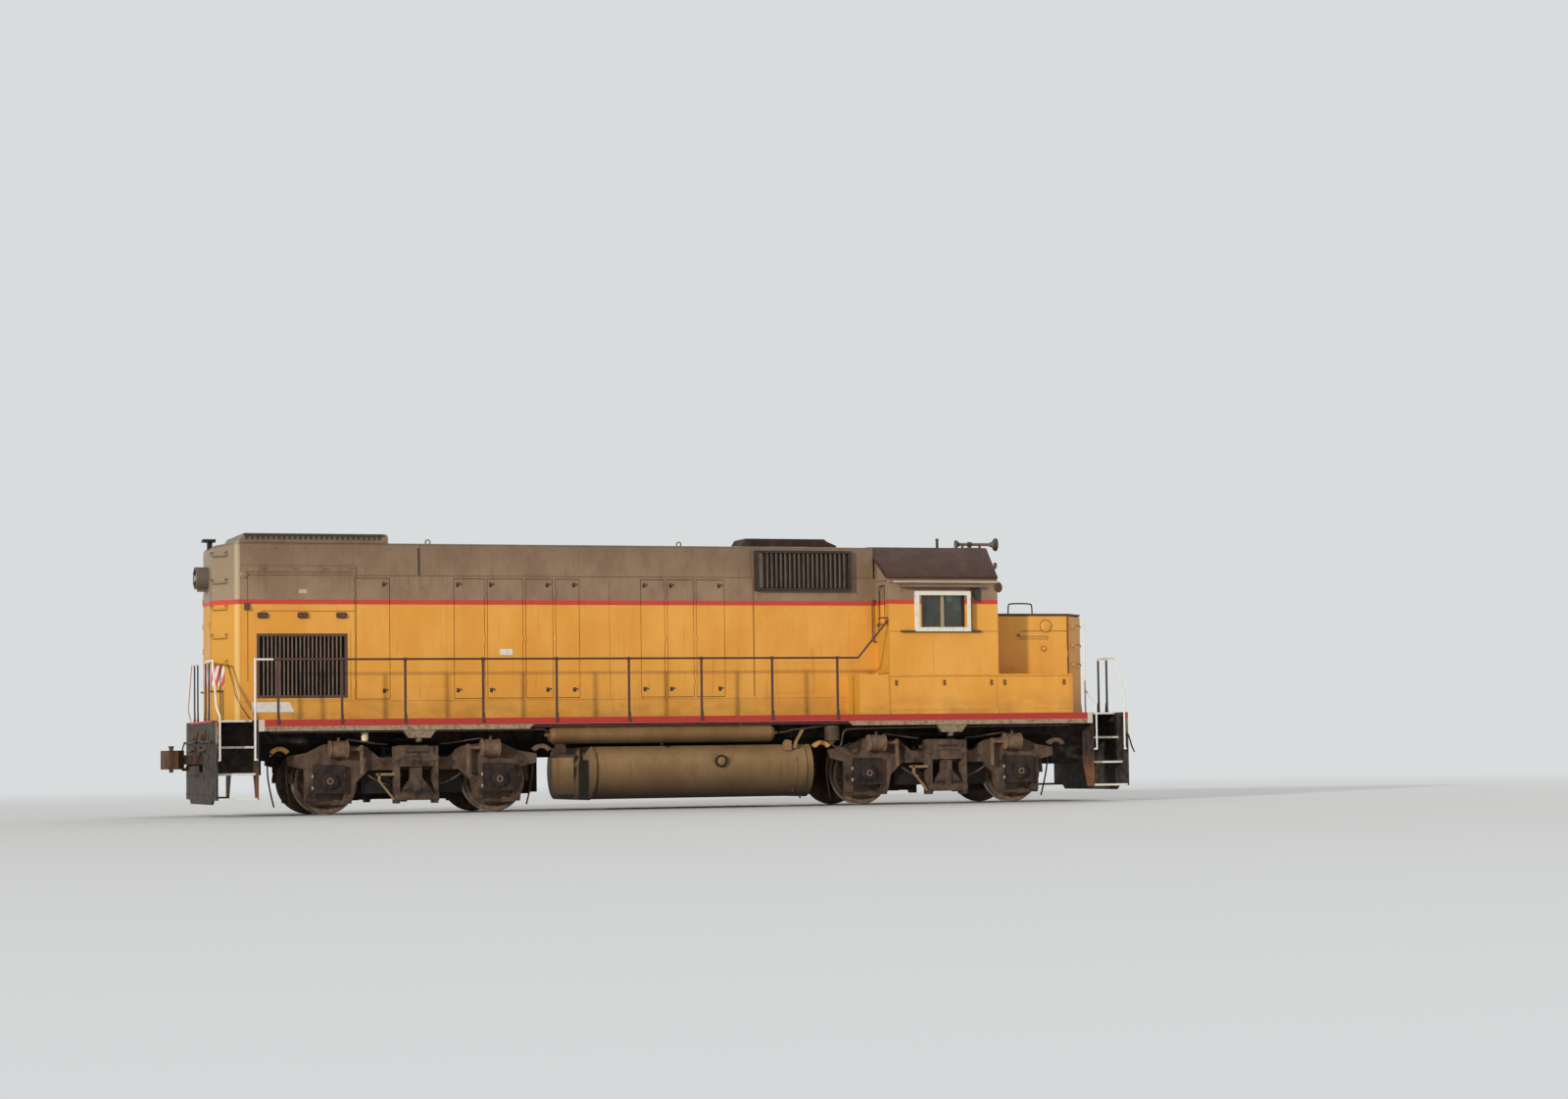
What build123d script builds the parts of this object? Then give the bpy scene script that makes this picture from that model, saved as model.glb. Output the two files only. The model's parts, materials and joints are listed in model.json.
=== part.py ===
from build123d import *
import os
from math import cos, pi, sin

# Four-axle diesel road-switcher locomotive, in millimetres, at full size.
# X runs forward towards the short hood, Y to the left, Z up.
# The origin is on the floor under the middle; the flange tips stand on that floor.

os.makedirs("parts", exist_ok=True)

# Running gear
wheel_radius = 508.0            # at the tread
flange_height = 27.0
rail = flange_height            # height of the rail head above the flange tips
wheel_width = 140.0
back_half = 678.0               # inner face of each wheel, out from the middle
axle_z = rail + wheel_radius
truck_centre_x = 4534.0
truck_wheelbase = 2743.0
axle_radius = 95.0
journal_radius = 72.0
journal_end = 1075.0            # axle end, out from the middle

# Underframe
deck_top = rail + 1480.0
deck_thick = 25.0
deck_bottom = deck_top - deck_thick
half_width = 1550.0
end_x = 7750.0                  # outer face of the end plates
end_plate = 30.0
sill_web = 22.0
sill_mid_bottom = rail + 1370.0
sill_end_bottom = rail + 1300.0
sill_deep_x = 2750.0            # the sill is deeper beyond this, out to the steps
step_x = 7090.0                 # inner side of the corner steps
step_half_y = 1110.0            # the deck's edge between the corner steps
centre_sill_half = 330.0
centre_sill_bottom = rail + 1120.0
coupler_face_x = 8370.0
coupler_z = rail + 876.0
bolster_end_z = rail + 1330.0   # underside of the body bolster where it meets the sill
plate_low = rail + 165.0        # bottom of the end plates in the middle
plate_ear = rail + 235.0        # and at their sides, level with the lowest tread

# Long hood
hood_half = 900.0
hood_wall = 50.0
hood_rear_x = -7300.0           # where the bevelled end begins
hood_end_x = -7640.0
hood_end_half = 430.0
wall_top = rail + 3780.0
hood_side_top = rail + 4235.0
hood_crown = rail + 4325.0
roof_wall = 40.0
door_bottom = rail + 1800.0
door_top = rail + 3736.0
door_gap = 9.0
post = 40.0                     # post between two door openings

# Cab
cab_rear_x = 3430.0
cab_front_x = 5390.0
cab_side_gap = 20.0             # the cab stands this far inside the deck's edge
cab_half = half_width - cab_side_gap
cab_wall = 60.0
cab_floor_top = rail + 2140.0
cab_eave = rail + 3745.0
cab_flat_half = 600.0
cab_peak = rail + 4270.0
cab_roof_front = 110.0          # how far the roof reaches past the front wall
cab_roof_rear = 30.0
nose_top = rail + 3175.0
nose_corner_x = 6960.0
nose_front_x = 7370.0
nose_front_half = 470.0
box_top = rail + 2140.0
box_front_x = 6740.0
box_rear_x = 2890.0


def write(builder, label):
    """Label a finished sub-part and write it as one STEP file."""
    builder.part.label = label
    export_step(builder.part, f"parts/{label}.step")


# How many flat sides stand for a circle on bent bars, short bars, and turned forms
pipe_sides = 8
rod_sides = 16
drum_sides = 20
wheel_sides = 32


def slab(x0, x1, y0, y1, z0, z1, mode=Mode.ADD):
    """Add a straight-sided block between two corners to the open sub-part."""
    with Locations(((x0 + x1) / 2, (y0 + y1) / 2, (z0 + z1) / 2)):
        Box(x1 - x0, y1 - y0, z1 - z0, mode=mode)


def both(side, a, b):
    """The lower and upper of two distances out from the middle, on one side."""
    return sorted((side * a, side * b))


def prism_y(points, y0, y1, mode=Mode.ADD):
    """Extrude an outline of (x, z) points from y0 to y1."""
    with BuildSketch(Plane.XZ.offset(-y0)) as outline:
        with BuildLine():
            Polyline(*points, close=True)
        make_face()
    extrude(outline.sketch, amount=y1 - y0, dir=(0, 1, 0), mode=mode)


def prism_x(points, x0, x1, mode=Mode.ADD):
    """Extrude an outline of (y, z) points from x0 to x1."""
    with BuildSketch(Plane.YZ.offset(x0)) as outline:
        with BuildLine():
            Polyline(*points, close=True)
        make_face()
    extrude(outline.sketch, amount=x1 - x0, dir=(1, 0, 0), mode=mode)


def prism_z(points, z0, z1, mode=Mode.ADD):
    """Extrude an outline of (x, y) points from z0 to z1."""
    with BuildSketch(Plane.XY.offset(z0)) as outline:
        with BuildLine():
            Polyline(*points, close=True)
        make_face()
    extrude(outline.sketch, amount=z1 - z0, dir=(0, 0, 1), mode=mode)


def rod_y(x, z, radius, y0, y1, mode=Mode.ADD):
    """Add a round bar along Y, with flat sides to save facets."""
    with BuildSketch(Plane.XZ.offset(-y0)) as section:
        with Locations((x, z)):
            RegularPolygon(radius, rod_sides)
    extrude(section.sketch, amount=y1 - y0, dir=(0, 1, 0), mode=mode)


def rod_x(y, z, radius, x0, x1, mode=Mode.ADD):
    """Add a round bar along X, with flat sides to save facets."""
    with BuildSketch(Plane.YZ.offset(x0)) as section:
        with Locations((y, z)):
            RegularPolygon(radius, rod_sides)
    extrude(section.sketch, amount=x1 - x0, dir=(1, 0, 0), mode=mode)


def rod_z(x, y, radius, z0, z1, mode=Mode.ADD):
    """Add an upright round bar, with flat sides to save facets."""
    with BuildSketch(Plane.XY.offset(z0)) as section:
        with Locations((x, y)):
            RegularPolygon(radius, rod_sides)
    extrude(section.sketch, amount=z1 - z0, dir=(0, 0, 1), mode=mode)


def turned(origin, along, rings, sides, mode=Mode.ADD):
    """Add or cut a turned form with flat sides: rings of (radius, place) on an axis through an origin."""
    axis = Plane(origin=origin, z_dir=along)
    turns = [2 * pi * step / sides for step in range(sides)]
    loops = [[axis.from_local_coords(Vector(radius * cos(turn), radius * sin(turn), place)) for turn in turns]
             for radius, place in rings]
    skin = [Face(Wire.make_polygon(loop)) for loop in (loops[0], loops[-1])]
    for first, second in zip(loops, loops[1:]):
        for step in range(sides):
            corners = (first[step - 1], first[step], second[step], second[step - 1])
            skin.append(Face(Wire.make_polygon(corners)))
    add(Solid(Shell(skin)), mode=mode)


def pipe(points, radius):
    """Add an eight-sided bar along straight runs with mitred corners."""
    with BuildLine() as route:
        Polyline(*points)
    with BuildSketch(Plane(origin=route.line @ 0, z_dir=route.line % 0)) as section:
        RegularPolygon(radius, pipe_sides)
    sweep(section.sketch, path=route.line, transition=Transition.RIGHT)


# Underframe: deck, side sills, centre sill, end plates, bolsters and jacking pads
draft_pocket_half = 170.0
draft_pocket_high = 200.0       # half the pocket's height
draft_pocket_deep = 600.0
draft_box_deep = 900.0
draft_box_low = coupler_z - 260.0
bolster_half_x = 250.0
bolster_bottom = rail + 1190.0
centre_plate_radius = 210.0
truck_bowl_top = rail + 1062.0
centre_plate_gap = 1.0
pad_y1 = half_width - 50.0
pad_y0 = pad_y1 - 130.0
pad_half_top, pad_half_low = 270.0, 170.0
pad_bottom = rail + 1175.0
pad_face = rail + 1105.0
pad_face_radius = 55.0
plate_taper_y0, plate_taper_y1 = 1080.0, 1180.0

with BuildPart() as underframe:
    slab(-end_x, end_x, -half_width, half_width, deck_bottom, deck_top)
    for side in (-1, 1):
        for end in (-1, 1):
            x0, x1 = both(end, step_x, end_x - end_plate)
            y0, y1 = both(side, step_half_y, half_width)
            slab(x0, x1, y0, y1, deck_bottom, deck_top, Mode.SUBTRACT)
        shallow_x = sill_deep_x - (sill_mid_bottom - sill_end_bottom)
        sill = [(-step_x, deck_bottom), (-step_x, sill_end_bottom), (-sill_deep_x, sill_end_bottom),
                (-shallow_x, sill_mid_bottom), (shallow_x, sill_mid_bottom),
                (sill_deep_x, sill_end_bottom), (step_x, sill_end_bottom), (step_x, deck_bottom)]
        y0, y1 = both(side, half_width - sill_web, half_width)
        prism_y(sill, y0, y1)
    slab(-end_x + end_plate, end_x - end_plate, -centre_sill_half, centre_sill_half,
         centre_sill_bottom, deck_bottom)
    for end in (-1, 1):
        # body bolster, tapering out to the side sills, with its centre plate and jacking pads
        middle = end * truck_centre_x
        web_y = half_width - sill_web
        bolster = [(-web_y, deck_bottom), (-web_y, bolster_end_z), (-centre_sill_half, bolster_bottom),
                   (centre_sill_half, bolster_bottom), (web_y, bolster_end_z), (web_y, deck_bottom)]
        prism_x(bolster, middle - bolster_half_x, middle + bolster_half_x)
        rod_z(middle, 0, centre_plate_radius, truck_bowl_top + centre_plate_gap, centre_sill_bottom)
        for side in (-1, 1):
            pad = [(middle - pad_half_top, sill_end_bottom), (middle - pad_half_low, pad_bottom),
                   (middle + pad_half_low, pad_bottom), (middle + pad_half_top, sill_end_bottom),
                   (middle + pad_half_top, deck_bottom), (middle - pad_half_top, deck_bottom)]
            y0, y1 = both(side, pad_y0, web_y)
            prism_y(pad, y0, y1)
            rod_z(middle, side * (pad_y0 + pad_y1) / 2, pad_face_radius, pad_face, pad_bottom)
        # end plate, with the draft gear box behind it and the coupler's pocket through both
        x0, x1 = both(end, end_x - end_plate, end_x)
        plate = [(-half_width, deck_top), (-half_width, plate_ear), (-plate_taper_y1, plate_ear),
                 (-plate_taper_y0, plate_low), (plate_taper_y0, plate_low), (plate_taper_y1, plate_ear),
                 (half_width, plate_ear), (half_width, deck_top)]
        prism_x(plate, x0, x1)
        x0, x1 = both(end, end_x - draft_box_deep, end_x - end_plate)
        slab(x0, x1, -centre_sill_half, centre_sill_half, draft_box_low, centre_sill_bottom)
        x0, x1 = both(end, end_x - draft_pocket_deep, end_x)
        slab(x0, x1, -draft_pocket_half, draft_pocket_half, coupler_z - draft_pocket_high,
             coupler_z + draft_pocket_high, Mode.SUBTRACT)
write(underframe, "underframe")

# Corner steps: an inner stringer and three treads in each corner, set back as they rise
step_stringer = 14.0
tread_thick = 30.0
tread_deep = 240.0
stringer_knee = rail + 620.0
# height of the tread's top above the rail, how far its outer edge is set back
treads = ((265.0, 0.0), (650.0, 190.0), (1070.0, 340.0))

with BuildPart() as corner_steps:
    for end in (-1, 1):
        for side in (-1, 1):
            outer, inner = side * half_width, side * step_half_y
            stringer = [(outer, deck_top), (outer, plate_ear), (side * (half_width - tread_deep - 20), plate_ear),
                        (inner, stringer_knee), (inner, deck_top)]
            x0, x1 = both(end, step_x, step_x + step_stringer)
            prism_x(stringer, x0, x1)
            x0, x1 = both(end, step_x, end_x - end_plate)
            for height, back in treads:
                inner_edge = max(half_width - back - tread_deep, step_half_y) if back else half_width - tread_deep
                y0, y1 = both(side, inner_edge, half_width - back)
                slab(x0, x1, y0, y1, rail + height - tread_thick, rail + height)
write(corner_steps, "corner_steps")

# Couplers: shank in the draft gear pocket, head with a hooked knuckle and a guard arm
shank_half = 75.0
head_half_high = 150.0
knuckle_half_high = 115.0
shank_end = coupler_face_x - 330.0
# outline of the head seen from above: back from the pulling face, out from the middle
head_points = ((345, -75), (250, -175), (40, -190), (5, -150), (95, -95), (130, 0),
               (95, 40), (90, 185), (240, 175), (345, 75))
knuckle_points = ((95, 40), (30, 20), (0, 60), (0, 120), (90, 185))

with BuildPart() as couplers:
    for end in (-1, 1):
        x0, x1 = both(end, end_x - draft_pocket_deep, shank_end)
        slab(x0, x1, -shank_half, shank_half, coupler_z - shank_half, coupler_z + shank_half)
        for points, half_high in ((head_points, head_half_high), (knuckle_points, knuckle_half_high)):
            outline = [(end * (coupler_face_x - back), end * out) for back, out in points]
            prism_z(outline, coupler_z - half_high, coupler_z + half_high)
write(couplers, "couplers")

# Fuel tank: barrel-sided between two rims, hung from the centre sill on two saddles
tank_x0, tank_x1 = -1640.0, 2040.0
tank_top = rail + 1000.0
tank_belly = rail + 560.0       # height at which the tank is widest
tank_bottom = rail + 150.0
tank_half = 1480.0
tank_top_half = tank_half - 210.0
tank_bottom_half = tank_half - 400.0
tank_rim = 30.0
rim_proud = 25.0
saddle_from_end = 500.0
saddle_half = 120.0
filler_x, filler_z = 476.0, rail + 742.0
filler_radius = 95.0
filler_deep, filler_proud = 100.0, 35.0

with BuildPart() as fuel_tank:
    # rear face, front face, how far this length stands proud of the tank's side
    for x0, x1, proud in ((tank_x0, tank_x1, 0.0), (tank_x0 - tank_rim, tank_x0, rim_proud),
                          (tank_x1, tank_x1 + tank_rim, rim_proud)):
        low = tank_bottom - proud / 2
        wide, wide_top = tank_half + proud, tank_top_half + proud
        with BuildSketch(Plane.YZ.offset(x0)):
            with BuildLine():
                Line((-tank_bottom_half, low), (tank_bottom_half, low))
                ThreePointArc((tank_bottom_half, low), (wide, tank_belly), (wide_top, tank_top))
                Line((wide_top, tank_top), (-wide_top, tank_top))
                ThreePointArc((-wide_top, tank_top), (-wide, tank_belly), (-tank_bottom_half, low))
            make_face()
        extrude(amount=x1 - x0)
    for x in (tank_x0 + saddle_from_end, tank_x1 - saddle_from_end):
        slab(x - saddle_half, x + saddle_half, -centre_sill_half, centre_sill_half, tank_top, centre_sill_bottom)
    for side in (-1, 1):
        rod_y(filler_x, filler_z, filler_radius, *both(side, tank_half - filler_deep, tank_half + filler_proud))
write(fuel_tank, "fuel_tank")

# Main air reservoirs, one each side above the tank, each with coned ends and two straps
reservoir_radius = 146.0
reservoir_y = half_width - 155.0
reservoir_z = rail + 1197.0
reservoir_x0, reservoir_x1 = -2390.0, 1400.0
reservoir_cone = 60.0
reservoir_end_radius = 105.0
strap = 50.0
strap_from_end = 600.0
strap_half = 90.0

with BuildPart() as air_reservoirs:
    for side in (-1, 1):
        rings = ((reservoir_end_radius, reservoir_x0), (reservoir_radius, reservoir_x0 + reservoir_cone),
                 (reservoir_radius, reservoir_x1 - reservoir_cone), (reservoir_end_radius, reservoir_x1))
        turned((0, side * reservoir_y, reservoir_z), (1, 0, 0), rings, drum_sides)
        for x in (reservoir_x0 + strap_from_end, reservoir_x1 - strap_from_end):
            y0, y1 = both(side, reservoir_y - strap_half, reservoir_y + strap_half)
            slab(x, x + strap, y0, y1, reservoir_z, deck_bottom)
write(air_reservoirs, "air_reservoirs")

# Equipment hung under the deck: a box behind the tank and an air dryer ahead of it, each side
hung_box_x0, hung_box_x1 = -2240.0, -1990.0
hung_box_y0, hung_box_y1 = half_width - 590.0, half_width - 150.0
hung_box_z0, hung_box_z1 = rail + 270.0, rail + 870.0
hanger_wide = 80.0
dryer_x, dryer_y = 2440.0, half_width - 170.0
dryer_radius, dryer_neck = 120.0, 80.0
dryer_z0, dryer_z1 = rail + 1060.0, rail + 1300.0

with BuildPart() as underfloor_boxes:
    for side in (-1, 1):
        y0, y1 = both(side, hung_box_y0, hung_box_y1)
        slab(hung_box_x0, hung_box_x1, y0, y1, hung_box_z0, hung_box_z1)
        y0, y1 = both(side, hung_box_y0 + hanger_wide / 2, hung_box_y0 + hanger_wide * 3 / 2)
        slab(hung_box_x0 + hanger_wide / 2, hung_box_x1 - hanger_wide / 2, y0, y1, hung_box_z1, deck_bottom)
        rod_z(dryer_x, side * dryer_y, dryer_radius, dryer_z0, dryer_z1)
        y0, y1 = both(side, dryer_y - dryer_neck / 2, dryer_y + dryer_neck / 2)
        slab(dryer_x - dryer_neck / 2, dryer_x + dryer_neck / 2, y0, y1, dryer_z1, deck_bottom)
write(underfloor_boxes, "underfloor_boxes")

# Equipment and battery boxes along both sides, under the cab and beside the short hood
cover_gap = 8.0
cover_thick = 30.0
box_plate = 45.0                # thickness of the boxes' top plate

with BuildPart() as side_boxes:
    for side in (-1, 1):
        y0, y1 = both(side, hood_half, cab_half - cover_thick)
        slab(box_rear_x, box_front_x, y0, y1, deck_top, box_top - box_plate)
        y0, y1 = both(side, hood_half, cab_half)
        slab(box_rear_x, cab_rear_x, y0, y1, box_top - box_plate, box_top)
        slab(cab_front_x, box_front_x, y0, y1, box_top - box_plate, box_top)
        y0, y1 = both(side, cab_half - cover_thick, cab_half)
        for x0, x1 in ((box_rear_x, cab_rear_x - cover_gap / 2),
                       (cab_rear_x + cover_gap / 2, cab_front_x - cover_gap / 2),
                       (cab_front_x + cover_gap / 2, box_front_x)):
            slab(x0, x1, y0, y1, deck_top, box_top - box_plate)
write(side_boxes, "side_boxes")

# Cab floor on the boxes; the walls and the roof stand on it
with BuildPart() as cab_floor:
    slab(cab_rear_x, cab_front_x, -cab_half, cab_half, box_top - box_plate, cab_floor_top)
write(cab_floor, "cab_floor")

# Cab side walls with their window frames, sunshades, drip rails and arm rests
window_x0, window_x1 = 3985.0, 4775.0
window_z0, window_z1 = rail + 2910.0, rail + 3480.0
frame_border = 100.0
frame_below, frame_above = 55.0, 45.0
frame_proud = 75.0
shade_x0, shade_x1 = 3620.0, 5080.0
shade_z, shade_thick, shade_out = rail + 3600.0, 22.0, 110.0
drip_z, drip_high, drip_out = rail + 3672.0, 28.0, 40.0
rest_x0, rest_x1 = 3640.0, 5060.0
rest_z, rest_thick, rest_out = rail + 2845.0, 25.0, 45.0

with BuildPart() as cab_side_walls:
    for side in (-1, 1):
        y0, y1 = both(side, cab_half - cab_wall, cab_half)
        slab(cab_rear_x, cab_front_x, y0, y1, cab_floor_top, cab_eave)
        y0, y1 = both(side, cab_half, cab_half + frame_proud)
        slab(window_x0 - frame_border, window_x1 + frame_border, y0, y1,
             window_z0 - frame_below, window_z1 + frame_above)
        y0, y1 = both(side, cab_half, cab_half + shade_out)
        slab(shade_x0, shade_x1, y0, y1, shade_z, shade_z + shade_thick)
        y0, y1 = both(side, cab_half, cab_half + drip_out)
        slab(cab_rear_x, cab_front_x, y0, y1, drip_z, drip_z + drip_high)
        y0, y1 = both(side, cab_half, cab_half + rest_out)
        slab(rest_x0, window_x0 - frame_border, y0, y1, rest_z, rest_z + rest_thick)
        slab(window_x1 + frame_border, rest_x1, y0, y1, rest_z, rest_z + rest_thick)
    reach = cab_half + frame_proud
    slab(window_x0, window_x1, -reach, reach, window_z0, window_z1, Mode.SUBTRACT)
write(cab_side_walls, "cab_side_walls")

# Cab end walls, with the roof's outline; the short or long hood stands against the lower middle
gable_half = cab_half - cab_wall
gable = [(-gable_half, cab_floor_top), (-gable_half, cab_eave), (-cab_flat_half, cab_peak),
         (cab_flat_half, cab_peak), (gable_half, cab_eave), (gable_half, cab_floor_top)]
door_y0, door_y1 = hood_half + 70.0, cab_half - 80.0
cab_door_z0, cab_door_z1 = cab_floor_top + 20.0, rail + 3715.0
# panes beside the middle post, and the outer pane across from the door
screen_y0, screen_y1 = 90.0, hood_half - 100.0
screen_z0, screen_z1 = rail + 3300.0, rail + 3760.0
side_pane_y0, side_pane_y1 = hood_half + 110.0, cab_half - 130.0
side_pane_z0, side_pane_z1 = rail + 2960.0, rail + 3560.0
number_box_y0, number_box_y1 = 330.0, 830.0
number_box_z0, number_box_z1 = rail + 3850.0, rail + 4010.0
headlight_box_half = 300.0
headlight_box_z0, headlight_box_z1 = rail + 3830.0, rail + 4060.0
box_proud = 90.0

with BuildPart() as cab_front_wall:
    inner_x = cab_front_x - cab_wall
    prism_x(gable, inner_x, cab_front_x)
    for side in (-1, 1):
        y0, y1 = both(side, screen_y0, screen_y1)
        slab(inner_x, cab_front_x, y0, y1, screen_z0, screen_z1, Mode.SUBTRACT)
    slab(inner_x, cab_front_x, -side_pane_y1, -side_pane_y0, side_pane_z0, side_pane_z1, Mode.SUBTRACT)
    slab(inner_x, cab_front_x, door_y0, door_y1, cab_door_z0, cab_door_z1, Mode.SUBTRACT)
    # bare number boxes and the headlight housing above the screens
    for side in (-1, 1):
        y0, y1 = both(side, number_box_y0, number_box_y1)
        slab(cab_front_x, cab_front_x + box_proud, y0, y1, number_box_z0, number_box_z1)
    slab(cab_front_x, cab_front_x + box_proud, -headlight_box_half, headlight_box_half,
         headlight_box_z0, headlight_box_z1)
write(cab_front_wall, "cab_front_wall")

with BuildPart() as cab_rear_wall:
    inner_x = cab_rear_x + cab_wall
    prism_x(gable, cab_rear_x, inner_x)
    slab(cab_rear_x, inner_x, side_pane_y0, side_pane_y1, side_pane_z0, side_pane_z1, Mode.SUBTRACT)
    slab(cab_rear_x, inner_x, -door_y1, -door_y0, cab_door_z0, cab_door_z1, Mode.SUBTRACT)
write(cab_rear_wall, "cab_rear_wall")

# Cab roof: a flat top between two broad slopes, reaching past the front wall
roof_rise = 52.0
eave_out = 45.0
eave_thick = 25.0

with BuildPart() as cab_roof:
    eave_y = cab_half + eave_out
    roof_outline = [(-eave_y, cab_eave), (-gable_half, cab_eave), (-cab_flat_half, cab_peak),
                    (cab_flat_half, cab_peak), (gable_half, cab_eave), (eave_y, cab_eave),
                    (eave_y, cab_eave + eave_thick), (cab_flat_half, cab_peak + roof_rise),
                    (-cab_flat_half, cab_peak + roof_rise), (-eave_y, cab_eave + eave_thick)]
    prism_x(roof_outline, cab_rear_x - cab_roof_rear, cab_front_x + cab_roof_front)
write(cab_roof, "cab_roof")

# Doors in the cab's end walls, each with a tall window with round ends
cab_door_gap = 9.0
door_pane_border = 90.0
door_pane_z0, door_pane_z1 = rail + 2980.0, rail + 3640.0
glass = 8.0
glass_deep = 26.0               # from a wall's inner face to its glass


def round_pane(x0, x1, middle_y, mode):
    """Cut or fill a cab door's window between two faces of the door."""
    wide = door_y1 - door_y0 - 2 * door_pane_border
    with BuildSketch(Plane.YZ.offset(x0)) as pane:
        with Locations((middle_y, (door_pane_z0 + door_pane_z1) / 2)):
            Rectangle(wide, door_pane_z1 - door_pane_z0 - wide)
        with Locations((middle_y, door_pane_z0 + wide / 2), (middle_y, door_pane_z1 - wide / 2)):
            RegularPolygon(wide / 2, rod_sides)
    extrude(pane.sketch, amount=x1 - x0, dir=(1, 0, 0), mode=mode)


def cab_door(x0, side, label):
    """A cab door in the end wall whose rear face is at x0."""
    with BuildPart() as door:
        y0, y1 = both(side, door_y0 + cab_door_gap, door_y1 - cab_door_gap)
        slab(x0, x0 + cab_wall, y0, y1, cab_door_z0 + cab_door_gap, cab_door_z1 - cab_door_gap)
        round_pane(x0, x0 + cab_wall, (y0 + y1) / 2, Mode.SUBTRACT)
        round_pane(x0 + glass_deep, x0 + glass_deep + glass, (y0 + y1) / 2, Mode.ADD)
    write(door, label)


cab_door(cab_rear_x, -1, "cab_rear_door")
cab_door(cab_front_x - cab_wall, 1, "cab_front_door")

# Glass in the walls: the side windows, the screens and the end panes
with BuildPart() as cab_glass:
    front_glass = cab_front_x - cab_wall + glass_deep
    rear_glass = cab_rear_x + glass_deep
    for side in (-1, 1):
        y0, y1 = both(side, cab_half - cab_wall + glass_deep, cab_half - cab_wall + glass_deep + glass)
        slab(window_x0, window_x1, y0, y1, window_z0, window_z1)
        y0, y1 = both(side, screen_y0, screen_y1)
        slab(front_glass, front_glass + glass, y0, y1, screen_z0, screen_z1)
    slab(front_glass, front_glass + glass, -side_pane_y1, -side_pane_y0, side_pane_z0, side_pane_z1)
    slab(rear_glass, rear_glass + glass, side_pane_y0, side_pane_y1, side_pane_z0, side_pane_z1)
write(cab_glass, "cab_glass")

# Two seats on square pedestals, and the control stand
seat_x, seat_y = 4310.0, cab_half - 400.0
seat_half = 230.0
seat_z0, seat_z1 = cab_floor_top + 420.0, cab_floor_top + 520.0
pedestal_half = 55.0
back_half_wide, back_thick, back_top = 210.0, 90.0, cab_floor_top + 1050.0

with BuildPart() as cab_seats:
    for side in (-1, 1):
        y = side * seat_y
        slab(seat_x - pedestal_half, seat_x + pedestal_half, y - pedestal_half, y + pedestal_half,
             cab_floor_top, seat_z0)
        slab(seat_x - seat_half, seat_x + seat_half, y - seat_half, y + seat_half, seat_z0, seat_z1)
        slab(seat_x - seat_half - back_thick / 2, seat_x - seat_half + back_thick / 2,
             y - back_half_wide, y + back_half_wide, seat_z1, back_top)
write(cab_seats, "cab_seats")

stand_x0, stand_x1 = 4640.0, 5000.0
stand_y0, stand_y1 = 420.0, 820.0
stand_desk, stand_top = cab_floor_top + 1050.0, cab_floor_top + 1250.0
desk_deep = 120.0

with BuildPart() as control_stand:
    console = [(stand_x0, cab_floor_top), (stand_x0, stand_desk), (stand_x0 + desk_deep, stand_top),
               (stand_x1, stand_top), (stand_x1, cab_floor_top)]
    prism_y(console, -stand_y1, -stand_y0)
write(control_stand, "control_stand")

# Short hood, bevelled at its front corners and along its top edges
nose_chamfer = 40.0

with BuildPart() as short_hood:
    plan = [(cab_front_x, -hood_half), (nose_corner_x, -hood_half), (nose_front_x, -nose_front_half),
            (nose_front_x, nose_front_half), (nose_corner_x, hood_half), (cab_front_x, hood_half)]
    prism_z(plan, deck_top, nose_top)
    top_edges = short_hood.faces().sort_by(Axis.Z)[-1].edges()
    chamfer(top_edges.filter_by(lambda edge: edge.center().X > cab_front_x + 1), nose_chamfer)
write(short_hood, "short_hood")

# Long hood sides: door openings, the radiator air openings and the shallow panel seams
# hinge side is +1 where the door's hinges are at its front edge, -1 at its rear edge
hood_doors = (
    # name, rear seam x, front seam x, hinge side
    ("a", -5464.0, -4850.0, -1),
    ("b", -3846.0, -3296.0, 1),
    ("c", -3296.0, -2661.0, 1),
    ("d", -2661.0, -2157.0, -1),
    ("e", -2157.0, -1709.0, -1),
    ("f", -714.0, -257.0, 1),
    ("g", -257.0, 241.0, 1),
    ("h", 241.0, 779.0, -1),
)
seams = (-4384.0, -1224.0, 1265.0)
grille_x0, grille_x1 = -7010.0, -5560.0
grille_z0, grille_z1 = rail + 1825.0, rail + 2850.0
seam_wide, seam_deep = 8.0, 8.0

with BuildPart() as hood_sides:
    for side in (-1, 1):
        y0, y1 = both(side, hood_half - hood_wall, hood_half)
        slab(hood_rear_x, cab_rear_x, y0, y1, deck_top, wall_top)
        slab(grille_x0, grille_x1, y0, y1, grille_z0, grille_z1, Mode.SUBTRACT)
        for name, rear, front, hinge_side in hood_doors:
            slab(rear + post / 2, front - post / 2, y0, y1, door_bottom, door_top, Mode.SUBTRACT)
        y0, y1 = both(side, hood_half - seam_deep, hood_half)
        for x in seams:
            slab(x - seam_wide / 2, x + seam_wide / 2, y0, y1, door_bottom, door_top, Mode.SUBTRACT)
write(hood_sides, "hood_sides")

for side, side_name in ((-1, "right"), (1, "left")):
    for name, rear, front, hinge_side in hood_doors:
        with BuildPart() as hood_door:
            y0, y1 = both(side, hood_half - hood_wall, hood_half)
            slab(rear + post / 2 + door_gap, front - post / 2 - door_gap, y0, y1,
                 door_bottom + door_gap, door_top - door_gap)
        write(hood_door, f"hood_door_{side_name}_{name}")

# Roof over the long hood, in three lift-off hatches with rounded shoulders
hatch_gap = 8.0
hatches = ((hood_rear_x, -4373.0), (-4373.0, 1226.0), (1226.0, cab_rear_x - cab_roof_rear))
crown_half = 300.0
shoulder_in = 70.0              # how far the shoulder's arc reaches in from the side
shoulder_rise = 62.0

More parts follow.
